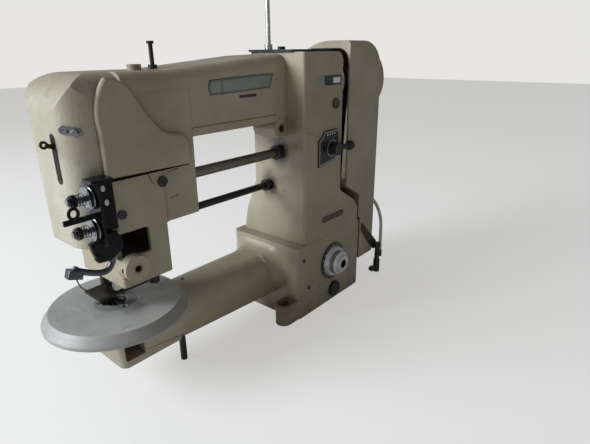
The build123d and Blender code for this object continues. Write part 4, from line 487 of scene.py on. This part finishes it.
def rounded(width, height, radius, steps=5):
    """Outline of a rounded rectangle round the middle."""
    points = []
    for sx, sy, start in ((1, 1, 0), (-1, 1, 90), (-1, -1, 180), (1, -1, 270)):
        for i in range(steps + 1):
            angle = math.radians(start + 90 * i / steps)
            points.append((sx * (width / 2 - radius) + radius * math.cos(angle),
                           sy * (height / 2 - radius) + radius * math.sin(angle)))
    return points


def round_points(centre_x, centre_y, radius_x, radius_y, angles):
    """Points of an ellipse at angles in degrees."""
    turns = [math.radians(angle) for angle in angles]
    return [(centre_x + radius_x * math.cos(t), centre_y + radius_y * math.sin(t)) for t in turns]


def shrink(corners, gap):
    """Outline moved inwards by a gap; its corners run anticlockwise."""
    moved = []
    count = len(corners)
    for i in range(count):
        before, here, after = (Vector(corners[(i + k) % count]) for k in (-1, 0, 1))
        first = (here - before).normalized()
        second = (after - here).normalized()
        inward = Vector((-first.y, first.x)) + Vector((-second.y, second.x))
        moved.append(here + inward * (gap / (1 + first.dot(second))))
    return [(v.x, v.y) for v in moved]


def raise_faces(bm, faces, thick):
    """Extrudes flat faces along Z, in millimetres; returns the raised points."""
    raised = bmesh.ops.extrude_face_region(bm, geom=faces)
    moved = [v for v in raised["geom"] if isinstance(v, bmesh.types.BMVert)]
    bmesh.ops.translate(bm, verts=moved, vec=mm(0, 0, thick))
    return moved


def slab(bm, corners, thick, at, soft=0.0):
    """Flat plate in bm: its outline in millimetres, laid by a matrix and raised along its Z."""
    before = set(bm.verts)
    face = bm.faces.new([bm.verts.new(mm(x, y, 0)) for x, y in corners])
    moved = raise_faces(bm, [face], thick)
    if soft:
        top = [e for e in bm.edges if all(v in moved for v in e.verts)]
        bmesh.ops.bevel(bm, geom=top, offset=soft * MM, segments=2, affect="EDGES", profile=0.6)
    bmesh.ops.transform(bm, matrix=at, verts=[v for v in bm.verts if v not in before])


def plate_shape(name, corners, thick, spot, material, soft=0.0, facing=front_facing):
    """Thin plate on a face of the frame; corners in millimetres from its spot."""
    bm = bmesh.new()
    slab(bm, corners, thick, facing(spot), soft)
    return piece_from(name, bm, material, "frame")


def outline_strip(name, corners, inset, width, thick, spot, material, facing=front_facing):
    """Closed raised line that follows an outline at an inset, in millimetres."""
    bm = bmesh.new()
    rings = [[bm.verts.new(mm(x, z, 0)) for x, z in shrink(corners, gap)] for gap in (inset, inset + width)]
    count = len(corners)
    faces = [bm.faces.new((rings[0][i], rings[0][(i + 1) % count], rings[1][(i + 1) % count], rings[1][i]))
             for i in range(count)]
    raise_faces(bm, faces, thick)
    bmesh.ops.recalc_face_normals(bm, faces=bm.faces)
    bmesh.ops.transform(bm, matrix=facing(spot), verts=bm.verts)
    return piece_from(name, bm, material, "frame")


def seam(name, start, end, widths, face_y, material):
    """Dark line on a front face from start to end, as wide as widths say at its two ends."""
    first, last = Vector(start), Vector(end)
    ahead = (last - first).normalized()
    side = Vector((-ahead.y, ahead.x))
    corners = [first - side * widths[0] / 2, last - side * widths[1] / 2,
               last + side * widths[1] / 2, first + side * widths[0] / 2]
    return plate_shape(name, corners, 0.12, (0, face_y, 0), material)


def bar_curve(name, route, radius, facets):
    """Round bar as a curve, along an open NURBS line whose control points are the route, in millimetres."""
    curve = bpy.data.curves.new(name, "CURVE")
    curve.dimensions = "3D"
    curve.bevel_depth = radius * MM
    curve.bevel_resolution = facets
    curve.use_fill_caps = True
    spline = curve.splines.new("NURBS")
    spline.points.add(len(route) - 1)
    for point, place in zip(spline.points, route):
        point.co = (*mm(*place), 1.0)
    spline.order_u = 3
    spline.use_endpoint_u = True
    spline.resolution_u = 10
    return curve


def add_curve(bm, curve, place):
    """Adds a curve's surface to bm, laid by a matrix, and throws the curve away."""
    holder = bpy.data.objects.new(curve.name, curve)
    mesh = bpy.data.meshes.new_from_object(holder)
    mesh.transform(place)
    bm.from_mesh(mesh)
    bpy.data.objects.remove(holder)
    bpy.data.meshes.remove(mesh)
    bpy.data.curves.remove(curve)


def add_bar(bm, route, radius):
    """Bent round bar in bm along a route, in millimetres."""
    add_curve(bm, bar_curve("bar", route, radius, 6), Matrix.Identity(4))


def add_digit(bm, text, size, place):
    """Flat raised number in bm, centred on a place, in millimetres."""
    half_thick = 0.05 * MM
    curve = bpy.data.curves.new("digit", "FONT")
    curve.body = text
    curve.size = size * MM
    curve.extrude = half_thick
    curve.align_x = "CENTER"
    curve.align_y = "CENTER"
    curve.resolution_u = 3
    add_curve(bm, curve, place @ Matrix.Translation((0, 0, half_thick)))


def drum_surface(centre, back_y, forward, angle):
    """Place on the dial's coned drum, in millimetres: X round it, Y towards the front, Z outwards."""
    out = Vector((math.cos(angle), 0, math.sin(angle)))
    front = Vector((0, -1, 0))
    lean = math.atan(DRUM_TAPER)
    normal = out * math.cos(lean) + front * math.sin(lean)
    ahead = (front * math.cos(lean) - out * math.sin(lean)).normalized()
    place = Matrix((ahead.cross(normal), ahead, normal)).transposed().to_4x4()
    radius = DRUM_FOOT_RADIUS - forward * DRUM_TAPER
    place.translation = (Vector((centre.x, back_y - forward, centre.z)) + out * radius) * MM
    return place


def bend_guide_arm(plane_y):
    """Guide arm that curves from the bracket to its block, with a knob on the block and a wire under it."""
    steel = metal("guide_steel", (0.085, 0.088, 0.098), rough=0.26, dirt=0.4, scale=90.0)
    block = Vector((-397.5, plane_y, 197.0))
    block_thick = 9.0
    bm = bmesh.new()
    add_bar(bm, [(-361.8, plane_y, 228), (-357, plane_y, 212), (-356, plane_y, 194), (-370, plane_y, 184),
                 (block.x + 2, plane_y, block.z + 3)], 3.3)
    tilt = up_facing(block) @ Matrix.Rotation(math.radians(20), 4, "Y")
    slab(bm, rounded(15, 10, 1.5, 3), block_thick, tilt @ up_facing((0, 0, -block_thick / 2)), 0.8)
    slab(bm, rounded(5.2, 5.2, 2.59), 3, tilt @ up_facing((0, 0, block_thick / 2)), 0.6)
    wire = [block + Vector(step) for step in ((1, 1, -3), (4, 6, -17), (20, 26, -37), (32, 40, -43))]
    add_bar(bm, wire, 0.7)
    arm = piece_from("guide_arm", bm, steel, "frame")
    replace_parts(arm, "thread_guide_arm")


def hang_guide_root(plane_y, black):
    """Black web that carries the guide arm below the bracket, with its screw."""
    outline = [(-370, 225.5), (-379, 222), (-377.5, 213), (-373, 200), (-361, 199), (-352, 203.5),
               (-345.5, 206), (-344.5, 214), (-346, 222), (-350, 228.5), (-357, 228.5)]
    thick = 5.5
    front = plane_y - 4.0
    plate_shape("guide_root", outline, thick, (0, front + thick, 0), black, soft=1.2)
    plate_shape("guide_screw", rounded(6.4, 6.4, 3.1), 3.5, (-374.5, front, 207), black, soft=0.8)


def set_thread_eye(black):
    """Thread eye between the two tensions, on its flat bar."""
    eye_y = -54.0
    bar_thick = 2.4
    bm = bmesh.new()
    ring = round_points(-392.0, 260.0, 4.6, 5.2, range(-90, 271, 30))
    add_bar(bm, [(x, eye_y, z) for x, z in ring], 1.6)
    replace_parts(piece_from("thread_eye", bm, black, "frame"), "loop_guide")
    bar_back = eye_y + bar_thick / 2
    plate_shape("eye_bar", rounded(35.5, 5.4, 1.0), bar_thick, (-385.0, bar_back, 252.6), black, soft=0.5)


def add_lamp(name, spot, size, power, colour):
    """Round soft lamp that looks at the machine's middle, in metres."""
    lamp = bpy.data.lights.new(name, "AREA")
    lamp.shape = "DISK"
    lamp.size = size
    lamp.energy = power
    lamp.color = colour
    obj = bpy.data.objects.new(name, lamp)
    obj.location = spot
    middle = Vector((-0.12, 0.0, 0.2))
    obj.rotation_euler = (middle - Vector(spot)).to_track_quat("-Z", "Y").to_euler()
    bpy.context.scene.collection.objects.link(obj)


def light_room(strength):
    """World that lights from all round, and that the camera sees as a plain backdrop."""
    world = bpy.data.worlds.new("studio_room")
    bpy.context.scene.world = world
    world.use_nodes = True
    tree = world.node_tree
    light = tree.nodes["Background"]
    light.inputs["Color"].default_value = (0.93, 0.95, 1.0, 1.0)
    light.inputs["Strength"].default_value = strength
    seen = tree.nodes.new("ShaderNodeBackground")
    seen.inputs["Color"].default_value = BACKDROP
    seen.inputs["Strength"].default_value = 1.0
    path = tree.nodes.new("ShaderNodeLightPath")
    either = tree.nodes.new("ShaderNodeMath")
    either.operation = "MAXIMUM"
    choose = tree.nodes.new("ShaderNodeMixShader")
    for output, socket in ((path.outputs["Is Camera Ray"], either.inputs[0]),
                           (path.outputs["Is Transmission Ray"], either.inputs[1]),
                           (either.outputs[0], choose.inputs[0]),
                           (light.outputs[0], choose.inputs[1]),
                           (seen.outputs[0], choose.inputs[2]),
                           (choose.outputs[0], tree.nodes["World Output"].inputs["Surface"])):
        tree.links.new(output, socket)


def place_camera():
    """Camera with the photograph's view."""
    camera = bpy.data.cameras.new("camera")
    camera.sensor_width = SENSOR_WIDTH
    camera.lens = FOCAL_LENGTH / PICTURE_WIDTH * SENSOR_WIDTH
    camera.clip_start = 0.02
    camera.clip_end = 50.0
    yaw, pitch, roll = (math.radians(angle) for angle in (YAW, PITCH, ROLL))
    ahead = Vector((math.sin(yaw), math.cos(yaw), 0))
    right = Vector((math.cos(yaw), -math.sin(yaw), 0))
    up = Vector((0, 0, 1))
    forward = math.cos(pitch) * ahead - math.sin(pitch) * up
    down = -math.sin(pitch) * ahead - math.cos(pitch) * up
    rolled_right = math.cos(roll) * right + math.sin(roll) * down
    rolled_down = -math.sin(roll) * right + math.cos(roll) * down
    turn = Matrix((rolled_right, -rolled_down, -forward)).transposed()
    view = bpy.data.objects.new("camera", camera)
    view.matrix_world = Matrix.Translation(EYE) @ turn.to_4x4()
    scene = bpy.context.scene
    scene.collection.objects.link(view)
    scene.camera = view
    scene.view_settings.view_transform = "Standard"


class SEWING_OT_stage(bpy.types.Operator):
    """Pale floor, soft lamps and the camera"""
    bl_idname = "sewing.stage"
    bl_label = "Set the stage"

    def execute(self, context):
        stage = context.scene.machine_stage
        half_side, thick = 6000, 20
        bm = bmesh.new()
        slab(bm, oblong(-half_side, -half_side, half_side, half_side), -thick, Matrix.Identity(4))
        floor = object_from("studio_floor", bm, studio_floor(stage.floor[:]))
        light_room(stage.sky)
        add_lamp("window_lamp", (-1.9, 0.85, 1.15), 1.2, stage.window, (0.84, 0.93, 1.0))
        add_lamp("fill_lamp", (-0.4, -1.9, 1.3), 1.6, stage.fill, (1.0, 0.97, 0.93))
        place_camera()
        return {"FINISHED"}


class SEWING_OT_enamel(bpy.types.Operator):
    """Enamel on the castings, covers and handwheel"""
    bl_idname = "sewing.enamel"
    bl_label = "Enamel the castings"

    def execute(self, context):
        paint = context.scene.machine_paint
        stains = [Stain(spot, 24.0, 0.45, (1, 1.2, 0.8), SOOT, 0.8) for spot in ROD_COLLARS]
        stains += [Stain(BESIDE_ARM_BOSS, 17.0, 0.2, (0.8, 1, 1), RUST, 0.6),
                   Stain(ARM_BOSS, 10.0, 0.5, (1, 0.5, 1), SOOT, 0.7),
                   Stain(LUG_HOLE, 22.0, 0.3, (1, 1, 1), RUST, 0.6),
                   Stain(NOSE_BOSS, 9.0, 0.3, (1, 0.5, 1), RUST, 0.7)]
        # The face plate gets a cooler, paler copy of the castings' paint: painted reflection of the cool
        # window light on its left face.
        face = enamel("face_enamel_painted_sheen", paint, dimple=0.50, tint=(1.02, 1.05, 1.08), rough=0.34, coat=0.4)
        casting = enamel("casting_enamel", paint, dimple=0.18, tint=(1.0, 0.97, 0.90), rough=0.40,
                         stains=stains)
        dress(["face_plate"], face)
        dress(CASTINGS, casting)
        return {"FINISHED"}


class SEWING_OT_metals(bpy.types.Operator):
    """Steel, chrome and blackened parts"""
    bl_idname = "sewing.metals"
    bl_label = "Finish the metals"

    def execute(self, context):
        metals = context.scene.machine_metal
        dress(BRIGHT_STEEL, metal("ground_steel", metals.steel[:], rough=0.26, streak=(0.2, 1, 1)))
        # Dark chrome with a dull film: the darkness is painted reflection of dark surroundings, the film is
        # real.
        dress(CHROME, metal("worn_chrome_dark_reflection", metals.chrome[:], rough=0.20, dirt=0.4, scale=60.0))
        oiled = metal("oiled_dark_steel", (0.046, 0.041, 0.035), rough=0.30, dirt=0.5, scale=90.0)
        dress(DARK_STEEL, oiled)
        dress(["throat_ring"], throat_steel())
        dress(["needle_plate"], plain_finish("plate_steel", (0.19, 0.185, 0.175), rough=0.45, metallic=0.2))
        dull = metal("dull_rod_steel", (0.20, 0.175, 0.15), rough=0.38, streak=(0.1, 1, 1), dirt=0.5)
        dress(["upper_rod"], dull)
        dress(["air_valve"], metal("valve_alloy", (0.075, 0.070, 0.060), rough=0.42, dirt=0.5))
        return {"FINISHED"}


class SEWING_OT_guide(bpy.types.Operator):
    """Guide arm below the tensions with its root, the thread eye between them and two painted highlights on
    the bracket
    """
    bl_idname = "sewing.guide"
    bl_label = "Bend the guide arm"

    def execute(self, context):
        plane_y = -44.0
        bend_guide_arm(plane_y)
        black = dark_coat("guide_black", (0.005, 0.005, 0.006), rough=0.26, worn=0.5, gloss=0.1)
        hang_guide_root(plane_y, black)
        set_thread_eye(black)
        # Two pale plates on the bracket's face: painted highlights where it catches the light.
        bright = plain_finish("bracket_glint_bright", (0.46, 0.46, 0.44), rough=0.32, metallic=0.5)
        for name, x, z in (("bracket_glint_high", -354, 273.5), ("bracket_glint_low", -352, 258.4)):
            plate_shape(name, rounded(4.6, 6.4, 2.2), 1.0, (x, BRACKET_FACE, z), bright, soft=0.5)
        return {"FINISHED"}


class SEWING_OT_blacks(bpy.types.Operator):
    """Black lever, plates, plugs and belt"""
    bl_idname = "sewing.blacks"
    bl_label = "Finish the black parts"

    def execute(self, context):
        dress(BLACK_PARTS, dark_coat("black_enamel", (0.009, 0.009, 0.009), rough=0.30, worn=0.45))
        glossy = dark_coat("gloss_black", (0.005, 0.005, 0.006), rough=0.22, worn=0.6, gloss=0.12)
        dress(GLOSS_BLACK, glossy)
        glass = Stain(SIGHT_PLUG, 9.0, 0.9, (1, 1, 1), (0.050, 0.028, 0.012), 1.0)
        painted = Stain(OIL_CAP, 14.0, 0.9, (1, 1, 1), context.scene.machine_paint.enamel[:], 1.0)
        plug = dark_coat("plug_black", (0.009, 0.009, 0.009), rough=0.32, worn=0.45, spots=[glass, painted])
        dress(["plugs"], plug)
        dress(["slotted_screws"], dark_coat("screw_black", (0.022, 0.016, 0.011), rough=0.34, worn=0.4))
        dress(["timing_belt"], dark_coat("belt_rubber", (0.02, 0.02, 0.02), rough=0.7, worn=0.1))
        return {"FINISHED"}


class SEWING_OT_hose(bpy.types.Operator):
    """Air hose from the valve up to the machine's side"""
    bl_idname = "sewing.hose"
    bl_label = "Lay the air hose"

    def execute(self, context):
        route = [(148, -77, 44), (148, -77, 68), (156, -72, 106), (151, -59, 139), (142, -36, 152),
                 (142, -8, 152)]
        radius = 3.0
        curve = bar_curve("air_hose", route, radius, 5)
        curve.materials.append(hose_plastic())
        hose = bpy.data.objects.new("air_hose", curve)
        context.scene.collection.objects.link(hose)
        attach(hose, "frame")
        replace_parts(hose, "hose")
        return {"FINISHED"}


class SEWING_OT_table(bpy.types.Operator):
    """Turned grey finish of the round work table"""
    bl_idname = "sewing.table"
    bl_label = "Finish the round table"

    def execute(self, context):
        dress(["round_table"], turned_table("turned_table", context.scene.machine_metal.table[:]))
        return {"FINISHED"}


class SEWING_OT_plates(bpy.types.Operator):
    """Bare name plate, labels and badge, and the lines on the lever plate"""
    bl_idname = "sewing.plates"
    bl_label = "Add the bare plates"

    def execute(self, context):
        silver = plain_finish("plate_silver", (0.205, 0.230, 0.190), rough=0.38, metallic=0.2)
        ink = plain_finish("plate_ink", (0.018, 0.018, 0.017), rough=0.45)
        white = plain_finish("plate_white", (0.62, 0.61, 0.57), rough=0.5)
        brown = plain_finish("badge_brown", (0.062, 0.047, 0.030), rough=0.42, metallic=0.2)
        column_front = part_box("arm_casting")[0][1] / MM

        # Name plate with the line round its field, and the small label below it
        spot = (-150.5, ARM_FACE, 361.0)
        edge = [(-54.5, -9.2), (-1, -8.2), (48, -6.2), (54.5, 11.4), (10, 10.6), (-54.8, 8.2), (-57, -0.5)]
        bar = [(-36.4, -7.0), (-35.6, -7.0), (-35.8, 7.2), (-36.6, 7.2)]
        plate_shape("name_plate", edge, 0.5, spot, ink, soft=0.15)
        plate_shape("name_plate_field", shrink(edge, 1.1), 0.62, spot, silver, soft=0.1)
        outline_strip("name_plate_line", edge, 2.0, 0.45, 0.68, spot, ink)
        plate_shape("name_plate_bar", bar, 0.68, spot, ink)
        plate_shape("small_label", rounded(30, 3.6, 0.5), 0.3, (-143.5, ARM_FACE, 347.0), ink, soft=0.08)

        # Label on the column
        spot = (-12.5, column_front, 360.2)
        plate_shape("side_label", rounded(60.3, 14.5, 0.8), 0.35, spot, silver, soft=0.08)
        plate_shape("side_label_dark", oblong(-12.0, -6.7, 29.4, 6.7), 0.45, spot, ink)
        plate_shape("side_label_block", oblong(9.0, -4.2, 26.0, 3.6), 0.52, spot, white)

        # Badge on the skirt
        spot = (3.0, column_front, 151.0)
        edge = rounded(58, 9.6, 4.7, 8)
        plate_shape("skirt_badge", edge, 0.7, spot, brown, soft=0.3)
        outline_strip("skirt_badge_rim", edge, 1.0, 0.6, 0.95, spot, brown)

        # Lines on the lever plate: along its edge, round its hub and four marks
        hub = Vector((-5.0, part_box("lever_plate")[0][1] / MM, 262.0))
        edge = [(-33, -24), (7.2, -18), (18, -2), (18, 22), (12, 28), (-20, 27), (-24, 20), (-33, 14)]
        ring = round_points(0, 0, 12.5, 12.5, range(0, 360, 15))
        outline_strip("lever_plate_line", edge, 1.6, 0.55, 0.12, hub, white)
        outline_strip("lever_ring_line", ring, 0.0, 0.5, 0.12, hub, white)
        for x, z in ((-12, 21.5), (-6, 22.0), (0, 22.4), (6, 22.6)):
            mark = rounded(1.8, 2.6, 0.3, 2)
            plate_shape(f"lever_mark_{x + 20}", mark, 0.12, hub + Vector((x, 0, z)), white)
        return {"FINISHED"}


class SEWING_OT_seams(bpy.types.Operator):
    """Dark seams and a crack of the castings, and painted shade: the gap under the front cover, two
    recesses, the take-up slot and small holes
    """
    bl_idname = "sewing.seams"
    bl_label = "Draw the seams"

    def execute(self, context):
        # Near-black for the real seams and the crack, and for the painted shadows and painted shade drawn
        # below.
        seams_and_shadows = plain_finish("seam_and_shadow_dark", (0.010, 0.008, 0.006), rough=0.8, gloss=0.0)
        black = plain_finish("slot_shadow_black", (0.006, 0.006, 0.007), rough=0.5, gloss=0.12)
        # Painted shadow in the gap under the head's front cover.
        plate_shape("cover_gap_shadow", [(-349, 276.6), (-245, 277.3), (-245, 279.3), (-349, 281.3)], 0.15,
                    (0, COVER_FACE, 0), seams_and_shadows)
        plate_shape("arm_seam", [(-264.5, 347.3), (-261.9, 321), (-258.6, 321), (-262.6, 347.3)], 0.12,
                    (0, ARM_FACE, 0), seams_and_shadows)
        seam("block_seam", (-298.5, 276.5), (-293.3, 263.7), (0.9, 0.5), BLOCK_FACE, seams_and_shadows)
        # Painted shadows of two small recesses on the block's step.
        seam("block_recess_shadow_upper", (-271.1, 272.6), (-257.1, 274.5), (0.7, 0.7), BLOCK_STEP_FACE, seams_and_shadows)
        seam("block_recess_shadow_lower", (-270.9, 241.6), (-259.4, 243.7), (0.7, 0.7), BLOCK_STEP_FACE, seams_and_shadows)
        seam("bed_seam", (-321.8, 60.0), (-276.0, 54.9), (0.6, 0.5), BED_FACE, seams_and_shadows)
        seam("column_crack", (-65.9, 294.1), (-33.4, 281.2), (0.35, 0.2), COLUMN_FACE, seams_and_shadows)
        # Black frame round the take-up lever's slot: painted shade that makes the slot look wider.
        outline_strip("take_up_slot_shadow", rounded(9.4, 50.4, 4.3), 0.0, 2.6, 0.3, (-379.0, -7.5, 302.5),
                      black, facing=left_facing)
        # Small holes as dark plates: painted shade inside the holes.
        plate_shape("boss_oil_hole", rounded(3.2, 5.4, 1.5), 0.42, (-346.2, -41.0, 179.0), seams_and_shadows,
                    facing=left_facing)
        plate_shape("bed_hole", rounded(4.6, 4.6, 2.2), 0.12, (-230.5, 20.2, 103.2), seams_and_shadows,
                    facing=up_facing)
        return {"FINISHED"}


class SEWING_OT_dial(bpy.types.Operator):
    """Marks on the feed dial: dots on its backing ring, lines and numbers on its drum"""
    bl_idname = "sewing.dial"
    bl_label = "Mark the feed dial"

    def execute(self, context):
        dress(["dial_scale_ring"], dark_coat("dial_black", (0.012, 0.012, 0.012), rough=0.35, worn=0.3))
        dress(["feed_dial"], dial_alloy())
        white = plain_finish("dial_white", (0.70, 0.69, 0.66), rough=0.5, worn=0.1)
        ink = plain_finish("dial_ink", (0.012, 0.012, 0.012), rough=0.5, worn=0.1, gloss=0.2)
        ticks = context.scene.machine_dial.ticks
        low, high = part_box("dial_scale_ring")
        centre = (low + high) / 2 / MM
        face_y = low.y / MM
        back_y = face_y - 0.3

        dots = bmesh.new()
        for i in range(ticks // 2):
            angle = math.tau * i / (ticks // 2)
            across, up = DOT_CIRCLE * math.cos(angle), DOT_CIRCLE * math.sin(angle)
            spot = (centre.x + across, face_y, centre.z + up)
            slab(dots, rounded(1.5, 1.5, 0.7, 3), 0.15, front_facing(spot))
        piece_from("dial_ring_dots", dots, white, "frame")

        lines = bmesh.new()
        for i in range(ticks):
            length = 3.0 if i % TICKS_A_NUMBER == 0 else 1.8
            at = drum_surface(centre, back_y, 0.6 + length / 2, math.tau * i / ticks)
            slab(lines, rounded(0.55, length, 0.1, 1), 0.08, at)
        piece_from("dial_lines", lines, ink, "feed_dial")

        numbers = ticks // TICKS_A_NUMBER
        digits = bmesh.new()
        for i in range(numbers):
            add_digit(digits, str(i), 2.9, drum_surface(centre, back_y, 4.7, math.tau * i / numbers))
        piece_from("dial_numbers", digits, ink, "feed_dial")
        return {"FINISHED"}


class SEWING_PT_panel(bpy.types.Panel):
    """Buttons and values of the sewing machine"""
    bl_idname = "SEWING_PT_panel"
    bl_label = "Sewing machine"
    bl_space_type = "VIEW_3D"
    bl_region_type = "UI"
    bl_category = "Sewing machine"

    def draw(self, context):
        for operator in OPERATORS:
            self.layout.operator(operator.bl_idname)
        for group in GROUPS:
            settings = getattr(context.scene, group)
            box = self.layout.box()
            for key in settings.__annotations__:
                box.prop(settings, key)


GROUPS = {"machine_paint": MachinePaint, "machine_metal": MachineMetal, "machine_dial": MachineDial,
          "machine_stage": MachineStage}
OPERATORS = [SEWING_OT_stage, SEWING_OT_enamel, SEWING_OT_metals, SEWING_OT_guide, SEWING_OT_blacks,
             SEWING_OT_hose, SEWING_OT_table, SEWING_OT_plates, SEWING_OT_seams, SEWING_OT_dial]


def register():
    for kind in (*GROUPS.values(), *OPERATORS, SEWING_PT_panel):
        bpy.utils.register_class(kind)
    for name, group in GROUPS.items():
        setattr(bpy.types.Scene, name, PointerProperty(type=group))


def unregister():
    for name in GROUPS:
        delattr(bpy.types.Scene, name)
    for kind in (SEWING_PT_panel, *reversed(OPERATORS), *GROUPS.values()):
        bpy.utils.unregister_class(kind)


def main():
    register()
    for operator in OPERATORS:
        area, name = operator.bl_idname.split(".")
        getattr(getattr(bpy.ops, area), name)()


if __name__ == "__main__":
    main()
